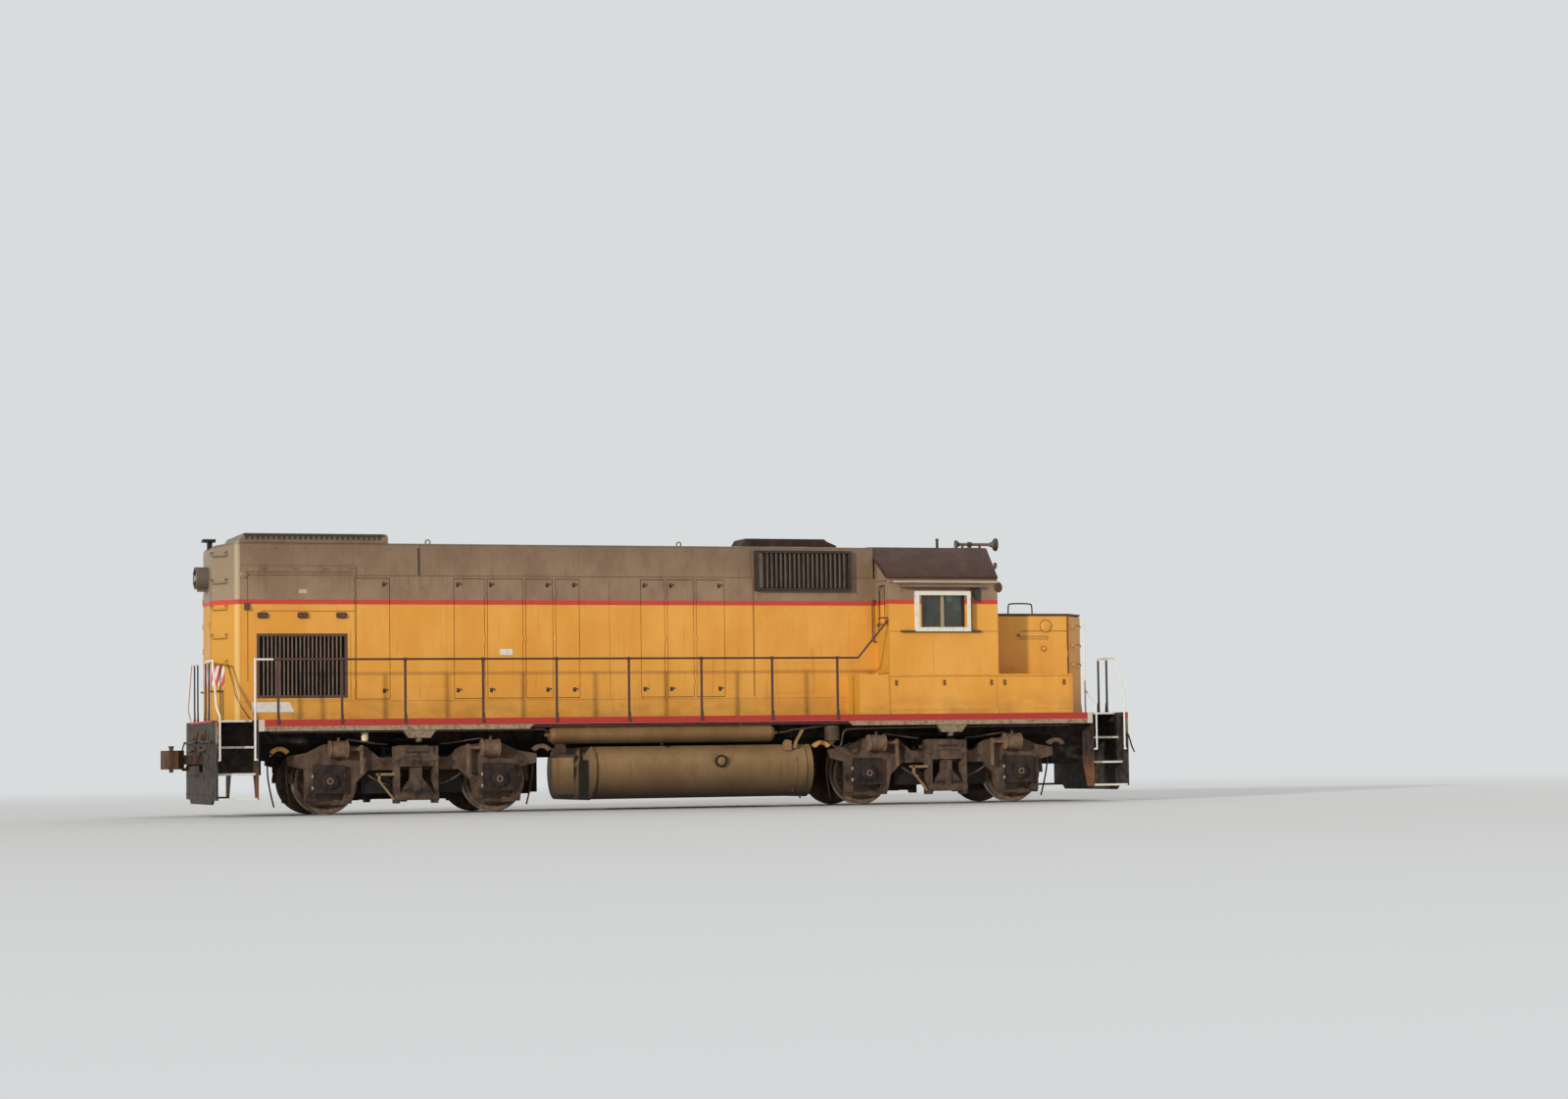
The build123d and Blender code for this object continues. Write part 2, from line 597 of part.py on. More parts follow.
with BuildPart() as hood_roof:
    inner_half = hood_half - roof_wall
    inner_top = hood_side_top - roof_wall
    for x0, x1 in hatches:
        with BuildSketch(Plane.YZ.offset(x0)):
            with BuildLine():
                for side in (-1, 1):
                    shoulder = (side * (hood_half - shoulder_in), hood_side_top + shoulder_rise)
                    ThreePointArc((side * hood_half, hood_side_top),
                                  (side * (hood_half - shoulder_in * 0.3), hood_side_top + shoulder_rise * 0.7),
                                  shoulder)
                    Polyline(shoulder, (side * crown_half, hood_crown))
                    Polyline((side * hood_half, hood_side_top), (side * hood_half, wall_top),
                             (side * inner_half, wall_top), (side * inner_half, inner_top))
                Line((-crown_half, hood_crown), (crown_half, hood_crown))
                Line((-inner_half, inner_top), (inner_half, inner_top))
            make_face()
        extrude(amount=x1 - hatch_gap - x0)
write(hood_roof, "hood_roof")

# Bevelled rear end of the long hood; its top slopes down to the rear and rounds over the end
end_top = hood_side_top + 40.0
end_plate_thick = 50.0
end_slope = 45.0                # how far the top falls towards the rear
end_round = 95.0

with BuildPart() as hood_end:
    outer_plan = [(hood_rear_x, -hood_half), (hood_end_x, -hood_end_half), (hood_end_x, hood_end_half),
                  (hood_rear_x, hood_half)]
    prism_z(outer_plan, deck_top, end_top + shoulder_rise / 2)
    slope = [(hood_rear_x, end_top + shoulder_rise / 2), (hood_end_x, end_top + shoulder_rise / 2),
             (hood_end_x, end_top + shoulder_rise / 2 - end_slope)]
    prism_y(slope, -hood_half, hood_half, Mode.SUBTRACT)
    top_edges = hood_end.faces().sort_by(Axis.Z)[-1].edges()
    fillet(top_edges.filter_by(lambda edge: edge.center().X < hood_rear_x - 1), end_round)
    inner_plan = [(hood_rear_x, -hood_half + hood_wall), (hood_end_x + hood_wall, -hood_end_half + 20),
                  (hood_end_x + hood_wall, hood_end_half - 20), (hood_rear_x, hood_half - hood_wall)]
    prism_z(inner_plan, deck_top, hood_side_top - end_plate_thick - end_round, Mode.SUBTRACT)
write(hood_end, "hood_end")

# Radiator housing on the roof, sloped down at both ends
radiator_x0, radiator_x1 = -7280.0, -4880.0
radiator_half = hood_half - shoulder_in
radiator_top = rail + 4440.0
radiator_slope = 90.0
radiator_lip = 18.0             # the lid stands this far out over the sides
lid_thick = 30.0

with BuildPart() as radiator_housing:
    side_profile = [(radiator_x0, hood_crown - 60), (radiator_x0, hood_crown), (radiator_x0 + radiator_slope, radiator_top),
                    (radiator_x1 - radiator_slope / 3, radiator_top), (radiator_x1, radiator_top - 40),
                    (radiator_x1, hood_crown - 60)]
    prism_y(side_profile, -radiator_half, radiator_half)
    slab(radiator_x0 + radiator_slope, radiator_x1 - radiator_slope, -radiator_half - radiator_lip,
         radiator_half + radiator_lip, radiator_top - lid_thick, radiator_top)
    # the roof's crown runs through below
    shoulder_y, shoulder_z = hood_half - shoulder_in, hood_side_top + shoulder_rise
    under = [(-crown_half, hood_crown), (crown_half, hood_crown), (shoulder_y, shoulder_z),
             (hood_half, shoulder_z), (hood_half, shoulder_z - 70), (-hood_half, shoulder_z - 70),
             (-hood_half, shoulder_z), (-shoulder_y, shoulder_z)]
    prism_x(under, radiator_x0, radiator_x1, Mode.SUBTRACT)
write(radiator_housing, "radiator_housing")

# Radiator air grilles low on the hood sides
grille_bars = 20
grille_frame = 45.0
grille_proud = 12.0
bar_wide = 22.0
bar_inset = 4.0                 # the bars stand back from both faces of their frame

with BuildPart() as radiator_grilles:
    for side in (-1, 1):
        y0, y1 = both(side, hood_half - hood_wall, hood_half + grille_proud)
        open_x0, open_x1 = grille_x0 + grille_frame, grille_x1 - grille_frame
        open_z0, open_z1 = grille_z0 + grille_frame, grille_z1 - grille_frame
        slab(grille_x0, grille_x1, y0, y1, grille_z0, grille_z1)
        slab(open_x0, open_x1, y0, y1, open_z0, open_z1, Mode.SUBTRACT)
        pitch = (open_x1 - open_x0) / (grille_bars + 1)
        for index in range(grille_bars):
            x = open_x0 + (index + 1) * pitch
            slab(x - bar_wide / 2, x + bar_wide / 2, y0 + bar_inset, y1 - bar_inset, open_z0, open_z1)
write(radiator_grilles, "radiator_grilles")

# Engine air intakes high on the hood sides, ahead of the doors: a raised box with upright louvres
intake_x0, intake_x1 = 1400.0, 2970.0
intake_z0, intake_z1 = rail + 3555.0, rail + 4225.0
intake_proud = 100.0
intake_rear_blank = 120.0       # plain length of the box behind the louvres
intake_rim, intake_sill = 50.0, 40.0
intake_bars = 18
intake_recess = 70.0
louvre_wide, louvre_back = 28.0, 6.0

with BuildPart() as intake_grilles:
    for side in (-1, 1):
        y0, y1 = both(side, hood_half, hood_half + intake_proud)
        slab(intake_x0 - intake_rear_blank, intake_x1, y0, y1, intake_z0, intake_z1)
        y0, y1 = both(side, hood_half + intake_proud - intake_recess, hood_half + intake_proud)
        slab(intake_x0, intake_x1 - intake_rim, y0, y1, intake_z0 + intake_sill, intake_z1 - intake_sill,
             Mode.SUBTRACT)
        y0, y1 = both(side, hood_half + intake_proud - intake_recess, hood_half + intake_proud - louvre_back)
        pitch = (intake_x1 - intake_rim - intake_x0) / (intake_bars + 1)
        for index in range(intake_bars):
            x = intake_x0 + (index + 1) * pitch
            slab(x - louvre_wide / 2, x + louvre_wide / 2, y0, y1, intake_z0 + intake_sill, intake_z1 - intake_sill)
write(intake_grilles, "intake_grilles")

# Silencer hump on the roof, its front end stepped down
hump_half = 300.0
hump_top = rail + 4470.0
hump_profile = ((1240.0, hood_crown), (1335.0, hump_top), (2740.0, hump_top), (2790.0, hump_top - 40),
                (2960.0, hump_top - 110), (2960.0, hood_crown))

with BuildPart() as roof_hump:
    prism_y(hump_profile, -hump_half, hump_half)
write(roof_hump, "roof_hump")

# Engine and generator: one block on the deck inside the hood
engine_x0, engine_x1 = -3750.0, 1750.0
engine_half = 620.0
engine_top = rail + 3350.0

with BuildPart() as engine:
    slab(engine_x0, engine_x1, -engine_half, engine_half, deck_top, engine_top)
write(engine, "engine")

# Side handrails: flat posts on the deck's edge under a rail that climbs to the cab
rail_top = rail + 2420.0        # middle of the rail
rail_radius = 17.0
rail_y = half_width - rail_radius
rail_rear_x, rail_bend_x = -7060.0, 2870.0
post_wide, post_deep = 38.0, 18.0
climb_y, climb_z = half_width - 60.0, rail + 3050.0     # where the rail ends on the cab's rear wall
side_posts = (-6780.0, -5775.0, -4765.0, -3505.0, -2295.0, -1087.0, 143.0, 1360.0, 2500.0)

with BuildPart() as side_handrails:
    for side in (-1, 1):
        y = side * rail_y
        pipe([(rail_rear_x, y, rail_top), (rail_bend_x, y, rail_top),
              (cab_rear_x, side * climb_y, climb_z)], rail_radius)
        slab(cab_rear_x, cab_rear_x + 2 * rail_radius, *both(side, climb_y - 50, climb_y + 50),
             climb_z - 60, climb_z + 60, Mode.SUBTRACT)
        for x in side_posts:
            slab(x - post_wide / 2, x + post_wide / 2, y - post_deep / 2, y + post_deep / 2, deck_top, rail_top)
write(side_handrails, "side_handrails")

# White handrails at the corner steps, and a rail across each end with a way through its middle
end_rail_x = end_x - end_plate / 2
end_rail_z = rail + 2420.0
end_post_wide, end_post_deep = 44.0, 20.0
end_gap_half = 380.0
end_posts = (end_gap_half, 720.0)
corner_y = step_half_y - rail_radius
well_x = end_x - end_plate - 30.0       # the lower part hangs inside the step well
curl_z = rail + 860.0                   # where the lower ends curl in to the steps
branch_radius = rail_radius - 2.0
stringer_x = step_x + step_stringer
grab_x = stringer_x + 66.0

with BuildPart() as end_handrails:
    for end in (-1, 1):
        for side in (-1, 1):
            # across the end, then outwards and down beside the steps
            pipe([(end * end_rail_x, side * end_gap_half, end_rail_z),
                  (end * end_rail_x, side * corner_y, end_rail_z),
                  (end * end_rail_x, side * (rail_y - 50), rail + 1680),
                  (end * well_x, side * rail_y, rail + 1540),
                  (end * well_x, side * rail_y, curl_z), (end * (end_x - end_plate), side * rail_y, curl_z)],
                 rail_radius)
            for y in end_posts:
                x0, x1 = both(end, end_rail_x - end_post_deep / 2, end_rail_x + end_post_deep / 2)
                y0, y1 = both(side, y, y + end_post_wide)
                slab(x0, x1, y0, y1, deck_top, end_rail_z)
    for side in (-1, 1):
        # rear corners: a straight rail up the steps to the side rail's end
        pipe([(-stringer_x, side * rail_y, curl_z), (-grab_x + 30, side * rail_y, curl_z),
              (-grab_x + 30, side * rail_y, rail_top), (rail_rear_x, side * rail_y, rail_top)], rail_radius)
        # front corners: a tall rail on the deck's edge, with a branch down beside the steps
        pipe([(grab_x, side * corner_y, deck_top), (grab_x, side * corner_y, rail + 3070)], rail_radius)
        pipe([(grab_x, side * corner_y, rail + 1870), (grab_x, side * rail_y, rail + 1620),
              (grab_x, side * rail_y, curl_z), (stringer_x, side * rail_y, curl_z)], branch_radius)
write(end_handrails, "end_handrails")

# Headlight barrel on the long hood's end, and twin lamp rings on the cab's front
barrel_radius, barrel_long, barrel_z = 165.0, 190.0, rail + 3770.0
ring_radius, ring_y, ring_long, ring_z = 92.0, 110.0, 30.0, rail + 3945.0

with BuildPart() as lamps:
    rod_x(0, barrel_z, barrel_radius, hood_end_x - barrel_long, hood_end_x)
    for side in (-1, 1):
        rod_x(side * ring_y, ring_z, ring_radius, cab_front_x + box_proud, cab_front_x + box_proud + ring_long)
write(lamps, "lamps")

# Horn on the cab's roof, one bell to the front and a smaller one to the rear
horn_y = -200.0
horn_z = cab_peak + roof_rise + 90.0
horn_foot_x0, horn_foot_x1 = 5410.0, 5470.0
# radius of the horn, place along it
horn_rings = ((72.0, 5190.0), (26.0, 5260.0), (26.0, 5790.0), (60.0, 5880.0), (115.0, 5930.0))

with BuildPart() as horn:
    turned((0, horn_y, horn_z), (1, 0, 0), horn_rings, rod_sides)
    slab(horn_foot_x0, horn_foot_x1, horn_y - 20, horn_y + 20, cab_peak + roof_rise, horn_z)
write(horn, "horn")

# Trucks: outside swing hangers, leaf springs under the bolster's ends
side_frame_y0, side_frame_y1 = 930.0, 1060.0
half_base = truck_wheelbase / 2
leg = 245.0                     # half the width of a pedestal opening
leg_wide = 130.0
leg_foot = rail + 190.0
pedestal_top = rail + 760.0
tie_bar_z = rail + 150.0
frame_end = truck_wheelbase / 2 + 650.0
transom_x0, transom_x1 = 330.0, 560.0
transom_z0, transom_z1 = rail + 690.0, rail + 860.0
# half of the side frame's outline: x out from the truck's middle, height above the rail
frame_lower = ((frame_end, 905.0), (frame_end, 765.0), (half_base + leg + leg_wide, 700.0),
               (half_base + leg + leg_wide, 190.0), (half_base + leg, 190.0), (half_base + leg, 760.0),
               (half_base - leg, 760.0), (half_base - leg, 190.0), (half_base - leg - leg_wide, 190.0),
               (half_base - leg - leg_wide - 60, 480.0), (half_base - leg - leg_wide - 260, 670.0))
frame_upper = ((560.0, 870.0), (760.0, 1040.0), (half_base - 200, 1090.0), (half_base + 60, 1090.0),
               (half_base + 330, 960.0))
frame_half = [(x, rail + z) for x, z in frame_upper + frame_lower]
frame_outline = frame_half + [(-x, z) for x, z in reversed(frame_half)]

bolster_half, bolster_z0 = 230.0, rail + 885.0
hanger_y0, hanger_y1 = 1075.0, 1300.0
end_box_half, end_box_z0, end_box_z1 = 270.0, rail + 725.0, rail + 1046.0
hanger_x, hanger_half, hanger_foot = 310.0, 40.0, rail + 140.0
hanger_inset = 20.0             # the hangers stand back from the bolster ends' outer face
plank_z0, plank_z1 = rail + 190.0, rail + 310.0
spring_inset = 60.0
leaf_thick = 44.0
leaf_halves = (250.0, 225.0, 190.0, 150.0, 105.0)
spring_seat_half = 95.0

journal_box_half = leg          # the box fills the pedestal's opening
journal_box_y0, journal_box_y1 = 880.0, 1150.0
journal_box_z0, journal_box_z1 = axle_z - 190.0, pedestal_top - 5.0
cover_radius, cover_deep = 125.0, 35.0
journal_space = journal_radius + 3.0    # the box's hollow clears the journal by this half width

brake_x = half_base - 140.0
brake_half, brake_deep, brake_cut = 145.0, 180.0, 60.0
brake_z0, brake_z1 = rail + 880.0, rail + 1140.0

motor_half, motor_out = 440.0, 130.0
motor_z0, motor_z1 = rail + 200.0, rail + 720.0
motor_space = axle_radius + 3.0

wheel_hub_radius, wheel_rim_radius = 150.0, 445.0
flange_wide, tread_fall = 34.0, 5.0
wheel_dish, hub_proud = 55.0, 17.0      # how far the web sinks and the hub stands out
wheel_back, wheel_front = back_half, back_half + wheel_width
dish_floor = wheel_front - wheel_dish
# radius and place across the wheel
tyre_rings = ((wheel_radius + flange_height, wheel_back), (wheel_radius, wheel_back + flange_wide),
              (wheel_radius - tread_fall, wheel_front))
dish_rings = ((wheel_hub_radius, dish_floor), (wheel_rim_radius, wheel_front))
hub_rings = ((wheel_hub_radius - 20, dish_floor), (wheel_hub_radius - 40, wheel_front + hub_proud))

with BuildPart() as wheelset_shape:
    for side in (-1, 1):
        across = (0, side, 0)
        turned((0, 0, 0), across, tyre_rings, wheel_sides)
        turned((0, 0, 0), across, dish_rings, wheel_sides, Mode.SUBTRACT)
        turned((0, 0, 0), across, hub_rings, rod_sides)
        turned((0, 0, 0), across, ((journal_radius, dish_floor), (journal_radius, journal_end)), rod_sides)
    rod_y(0, 0, axle_radius, -wheel_back, wheel_back)

for end, end_name in ((-1, "rear"), (1, "front")):
    middle = end * truck_centre_x
    with BuildPart() as truck_frame:
        for side in (-1, 1):
            y0, y1 = both(side, side_frame_y0, side_frame_y1)
            prism_y([(middle + x, z) for x, z in frame_outline], y0, y1)
            for axle in (-1, 1):
                x = middle + axle * half_base
                slab(x - leg - leg_wide, x + leg + leg_wide, y0 + 30, y1 - 30, tie_bar_z, leg_foot)
        for x0, x1 in ((-transom_x1, -transom_x0), (transom_x0, transom_x1)):
            slab(middle + x0, middle + x1, -side_frame_y0, side_frame_y0, transom_z0, transom_z1)
    write(truck_frame, f"{end_name}_truck_frame")

    with BuildPart() as bolster_part:
        slab(middle - bolster_half, middle + bolster_half, -hanger_y0, hanger_y0, bolster_z0, truck_bowl_top)
        for side in (-1, 1):
            y0, y1 = both(side, hanger_y0, hanger_y1)
            slab(middle - end_box_half, middle + end_box_half, y0, y1, end_box_z0, end_box_z1)
            for x in (-hanger_x, hanger_x):
                slab(middle + x - hanger_half, middle + x + hanger_half,
                     *both(side, side_frame_y1, hanger_y1 - hanger_inset), hanger_foot, end_box_z1)
            slab(middle - hanger_x, middle + hanger_x, y0, y1, plank_z0, plank_z1)
            # the leaves, stepped from the longest on the plank to the seat under the end box
            steps = []
            for index, half in enumerate(leaf_halves):
                low = plank_z1 + index * leaf_thick
                steps += [(half, low), (half, low + leaf_thick)]
            steps += [(spring_seat_half, steps[-1][1]), (spring_seat_half, end_box_z0)]
            leaves = [(middle + x, z) for x, z in steps] + [(middle - x, z) for x, z in reversed(steps)]
            prism_y(leaves, y0 + spring_inset, y1 - spring_inset)
    write(bolster_part, f"{end_name}_truck_bolster")

    with BuildPart() as journal_boxes:
        for side in (-1, 1):
            for axle in (-1, 1):
                x = middle + axle * half_base
                y0, y1 = both(side, journal_box_y0, journal_box_y1)
                slab(x - journal_box_half, x + journal_box_half, y0, y1, journal_box_z0, journal_box_z1)
                rod_y(x, axle_z, cover_radius, *both(side, journal_box_y1, journal_box_y1 + cover_deep))
                slab(x - journal_space, x + journal_space, *both(side, journal_box_y0, journal_end + 6),
                     axle_z - journal_space, axle_z + journal_space, Mode.SUBTRACT)
    write(journal_boxes, f"{end_name}_journal_boxes")

    with BuildPart() as brake_gear:
        for side in (-1, 1):
            for axle in (-1, 1):
                x = middle + axle * brake_x
                inner, outer = side * side_frame_y1, side * (side_frame_y1 + brake_deep)
                cut = side * brake_cut
                barrel = [(inner, brake_z0), (outer - cut, brake_z0), (outer, brake_z0 + brake_cut),
                          (outer, brake_z1 - brake_cut), (outer - cut, brake_z1), (inner, brake_z1)]
                prism_x(barrel, x - brake_half, x + brake_half)
    write(brake_gear, f"{end_name}_brake_gear")

    with BuildPart() as motors:
        for axle in (-1, 1):
            x = middle + axle * half_base
            x0, x1 = sorted((x + axle * motor_out, x - axle * (half_base - transom_x1)))
            slab(x0, x1, -motor_half, motor_half, motor_z0, motor_z1)
            slab(x - motor_space, x + motor_space, -motor_half, motor_half,
                 axle_z - motor_space, axle_z + motor_space, Mode.SUBTRACT)
    write(motors, f"{end_name}_traction_motors")

    for axle, axle_name in ((-1, "rear"), (1, "front")):
        with BuildPart() as wheelset:
            add(wheelset_shape.part.moved(Location((middle + axle * half_base, 0, axle_z))))
        write(wheelset, f"{end_name}_truck_{axle_name}_wheelset")
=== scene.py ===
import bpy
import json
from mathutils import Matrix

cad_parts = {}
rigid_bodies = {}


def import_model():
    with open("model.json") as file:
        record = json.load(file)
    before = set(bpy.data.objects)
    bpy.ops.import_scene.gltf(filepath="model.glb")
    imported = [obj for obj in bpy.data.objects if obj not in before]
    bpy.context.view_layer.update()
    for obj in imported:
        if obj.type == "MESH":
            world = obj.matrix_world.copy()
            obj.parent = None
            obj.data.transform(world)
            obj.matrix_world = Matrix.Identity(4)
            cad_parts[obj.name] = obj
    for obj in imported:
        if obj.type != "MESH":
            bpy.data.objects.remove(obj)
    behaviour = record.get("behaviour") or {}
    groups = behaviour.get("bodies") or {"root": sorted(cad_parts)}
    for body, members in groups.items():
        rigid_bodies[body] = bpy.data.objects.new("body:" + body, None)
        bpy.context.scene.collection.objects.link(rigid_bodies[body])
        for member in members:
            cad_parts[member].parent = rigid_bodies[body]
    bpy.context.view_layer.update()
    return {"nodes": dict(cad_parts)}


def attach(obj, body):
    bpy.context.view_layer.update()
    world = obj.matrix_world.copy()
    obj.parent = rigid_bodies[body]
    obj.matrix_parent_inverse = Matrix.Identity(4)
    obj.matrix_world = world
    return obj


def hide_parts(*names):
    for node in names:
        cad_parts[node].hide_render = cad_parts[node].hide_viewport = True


bl_info = {
    "name": "Diesel Road Switcher",
    "version": (1, 0, 0),
    "blender": (4, 5, 0),
    "location": "3D View > Sidebar > Locomotive",
    "description": "Dresses a full-size four-axle diesel locomotive in paint, glass, pipes and gear",
    "category": "Add Mesh",
}

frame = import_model()

import json
import math

import bmesh
import bpy
from mathutils import Matrix, Vector

NODES = frame["nodes"]
PAINTS = {}                     # each finish by its name, filled as they are mixed
RAIL = 0.027                    # the rail head in the frame; heights below are above the rail head
NOISE_ROUGHNESS = 0.62
FORWARD, REARWARD, UPWARD = (1, 0, 0), (-1, 0, 0), (0, 0, 1)
OUTWARD = (0, -1, 0)            # from the right side; most forms are built there, then mirrored


# Small helpers: colours, nodes, places and angles

def linear(sheet_colour):
    """A colour written as sRGB hex, as a linear RGBA tuple."""
    channels = [int(sheet_colour[i:i + 2], 16) / 255 for i in (0, 2, 4)]
    bright = [c / 12.92 if c <= 0.04045 else ((c + 0.055) / 1.055) ** 2.4 for c in channels]
    return (*bright, 1.0)


def add_node(tree, kind, inputs=None, **settings):
    """Add a node, set its properties, and fill its inputs with values or other nodes' outputs."""
    made = tree.nodes.new(kind)
    for name, value in settings.items():
        setattr(made, name, value)
    for socket, value in (inputs or {}).items():
        if isinstance(value, bpy.types.NodeSocket):
            tree.links.new(value, made.inputs[socket])
        else:
            made.inputs[socket].default_value = value
    return made


def put(axis, a, b, c):
    """A point at c along an axis; a and b are its other two coordinates, in the order X, Y, Z."""
    return {"X": (c, a, b), "Y": (a, c, b), "Z": (a, b, c)}[axis]


def around(count, first=0.0):
    """Angles evenly round a circle, the first one a share of a step on."""
    return [math.tau * (k + first) / count for k in range(count)]


def lathe(origin, axis):
    """A function that gives the point at a place along an axis, at a radius and an angle round it."""
    along = Vector(axis).normalized()
    turn = along.to_track_quat("Z", "X")
    start = Vector(origin)

    def point(place, radius, angle):
        out = Vector((math.cos(angle), math.sin(angle), 0.0))
        return start + along * place + turn @ out * radius
    return point


# Mesh building

class Form:
    """A mesh in the making, in metres, with heights above the rail head."""

    def __init__(self):
        self.mesh = bmesh.new()
        self.coat = 0           # which of the piece's paints the next faces take

    def skin(self, rings, closed=False, capped=True):
        """Faces between rings of points, each ring as long as the last."""
        loops = [[self.mesh.verts.new(p) for p in ring] for ring in rings]
        pairs = list(zip(loops, loops[1:]))
        if closed:
            pairs.append((loops[-1], loops[0]))
        for first, second in pairs:
            for i in range(len(first)):
                j = (i + 1) % len(first)
                self.mesh.faces.new((first[i], first[j], second[j], second[i])).material_index = self.coat
        if capped and not closed:
            self.mesh.faces.new(loops[0][::-1]).material_index = self.coat
            self.mesh.faces.new(loops[-1]).material_index = self.coat

    def block(self, low, high):
        """A straight-sided block between two corners."""
        (x0, y0, z0), (x1, y1, z1) = [tuple(f(a, b) for a, b in zip(low, high)) for f in (min, max)]
        self.skin([[(x0, y0, z), (x1, y0, z), (x1, y1, z), (x0, y1, z)] for z in (z0, z1)])

    def prism(self, outline, axis, start, end):
        """An outline of two coordinates drawn out along an axis."""
        self.skin([[put(axis, a, b, c) for a, b in outline] for c in (start, end)])

    def rim(self, axis, first_span, second_span, border, depth):
        """A rectangular frame across an axis: its outer edges, its border and its two faces."""
        (a0, a1), (b0, b1), (near, far) = first_span, second_span, depth
        corners = ((a0, b0, 1, 1), (a1, b0, -1, 1), (a1, b1, -1, -1), (a0, b1, 1, -1))
        self.skin([[put(axis, a, b, near), put(axis, a, b, far),
                    put(axis, a + u * border, b + v * border, far),
                    put(axis, a + u * border, b + v * border, near)] for a, b, u, v in corners],
                  closed=True)

    def turned(self, origin, axis, rings, steps=20, capped=True):
        """A form of revolution: rings of (place, radius) along an axis from an origin."""
        point = lathe(origin, axis)
        self.skin([[point(place, radius, a) for a in around(steps)] for place, radius in rings],
                  capped=capped)

    def ring(self, origin, axis, profile, steps=40):
        """A closed ring of revolution: a loop of (place, radius) points that stays off the axis."""
        point = lathe(origin, axis)
        self.skin([[point(place, radius, a) for place, radius in profile] for a in around(steps)],
                  closed=True)

    def pin(self, origin, axis, radius, length, steps=10):
        """A plain round bar, such as a hinge's barrel."""
        self.turned(origin, axis, ((0, radius), (length, radius)), steps)

    def bolts(self, places, axis, across, high):
        """Six-sided bolt heads standing out along an axis."""
        head = ((-0.002, across / 2), (high * 0.8, across / 2), (high, across * 0.4))
        for place in places:
            self.turned(place, axis, head, steps=6)

    def mirrored(self):
        """Repeat all of it on the locomotive's other side."""
        whole = self.mesh.verts[:] + self.mesh.edges[:] + self.mesh.faces[:]
        made = bmesh.ops.duplicate(self.mesh, geom=whole)["geom"]
        for part in made:
            if isinstance(part, bmesh.types.BMVert):
                part.co.y = -part.co.y
        bmesh.ops.reverse_faces(self.mesh, faces=[p for p in made if isinstance(p, bmesh.types.BMFace)])
        return self

    def show(self, name, paints, body="body", slot=None, bevel_mm=3.0, crease=38.0):
        """Make it a piece in one paint or several, riding on a body, with softened edges."""
        bmesh.ops.translate(self.mesh, verts=self.mesh.verts, vec=(0.0, 0.0, RAIL))
        bmesh.ops.recalc_face_normals(self.mesh, faces=self.mesh.faces)
        made = mesh_object(name, self.mesh, (paints,) if isinstance(paints, str) else paints)
        made.data.set_sharp_from_angle(angle=math.radians(crease))
        if bevel_mm:
            soften(made, bevel_mm, crease)
        return settle(made, body)


def linked(name, data):
    """A new object in the scene."""
    made = bpy.data.objects.new(name, data)
    bpy.context.scene.collection.objects.link(made)
    return made


def mesh_object(name, mesh, paints):
    """A smooth-shaded object from a mesh in the making, in the paints named."""
    data = bpy.data.meshes.new(name)
    mesh.to_mesh(data)
    mesh.free()
    data.polygons.foreach_set("use_smooth", [True] * len(data.polygons))
    for paint in paints:
        data.materials.append(PAINTS[paint])
    return linked(name, data)


def settle(made, body):
    """Let a new piece ride on a body."""
    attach(made, body)
    return made


def soften(thing, width_mm, crease):
    """Rolled edges on sheet and castings."""
    rounding = thing.modifiers.new("rounding", "BEVEL")
    rounding.width = width_mm / 1000
    rounding.segments = 2
    rounding.limit_method = "ANGLE"
    rounding.angle_limit = math.radians(crease)
    rounding.harden_normals = True


def tubes(name, routes, radius, paint, body="body", both=False):
    """Bent pipe or rod, one smooth line along each route's points, on one side or both."""
    data = bpy.data.curves.new(name, "CURVE")
    data.dimensions = "3D"
    data.bevel_depth = radius
    data.bevel_resolution = 2
    data.resolution_u = 6
    data.use_fill_caps = True
    data.materials.append(PAINTS[paint])
    if both:
        routes = [*routes, *[[(x, -y, z) for x, y, z in route] for route in routes]]
    for route in routes:
        line = data.splines.new("NURBS")
        line.points.add(len(route) - 1)
        for point, (x, y, z) in zip(line.points, route):
            point.co = (x, y, RAIL + z, 1.0)
        line.order_u = 3
        line.use_endpoint_u = True
    return settle(linked(name, data), body)


def cushion(name, middle, half):
    """A crowned vinyl pad: a block rounded by subdivision."""
    mesh = bmesh.new()
    bmesh.ops.create_cube(mesh, size=2.0)
    bmesh.ops.subdivide_edges(mesh, edges=mesh.edges[:], cuts=2, use_grid_fill=True)
    for vertex in mesh.verts:
        vertex.co = [m + c * h for m, c, h in zip(middle, vertex.co, half)]
        vertex.co.z += RAIL
    made = mesh_object(name, mesh, ("seat_vinyl",))
    rounder = made.modifiers.new("crown", "SUBSURF")
    rounder.levels = rounder.render_levels = 2
    settle(made, "body")


# Materials, each named for what the real one is

STRIPE_LOW, STRIPE_HIGH = 3.312, 3.392
BAND_PITCH = 0.113              # of the red and white bands on the rear corners, across the locomotive
BAND_LEAN = -0.314              # how far a band moves across for each metre up
RADIATOR_OPENING = ((-6.96, -5.61), (1.87, 2.80))
INTAKE_OPENING = ((1.34, 2.91), (3.61, 4.17))
CAB_INSIDE_REAR, CAB_INSIDE_FRONT, CAB_INSIDE_HALF = 3.44, 5.38, 1.49


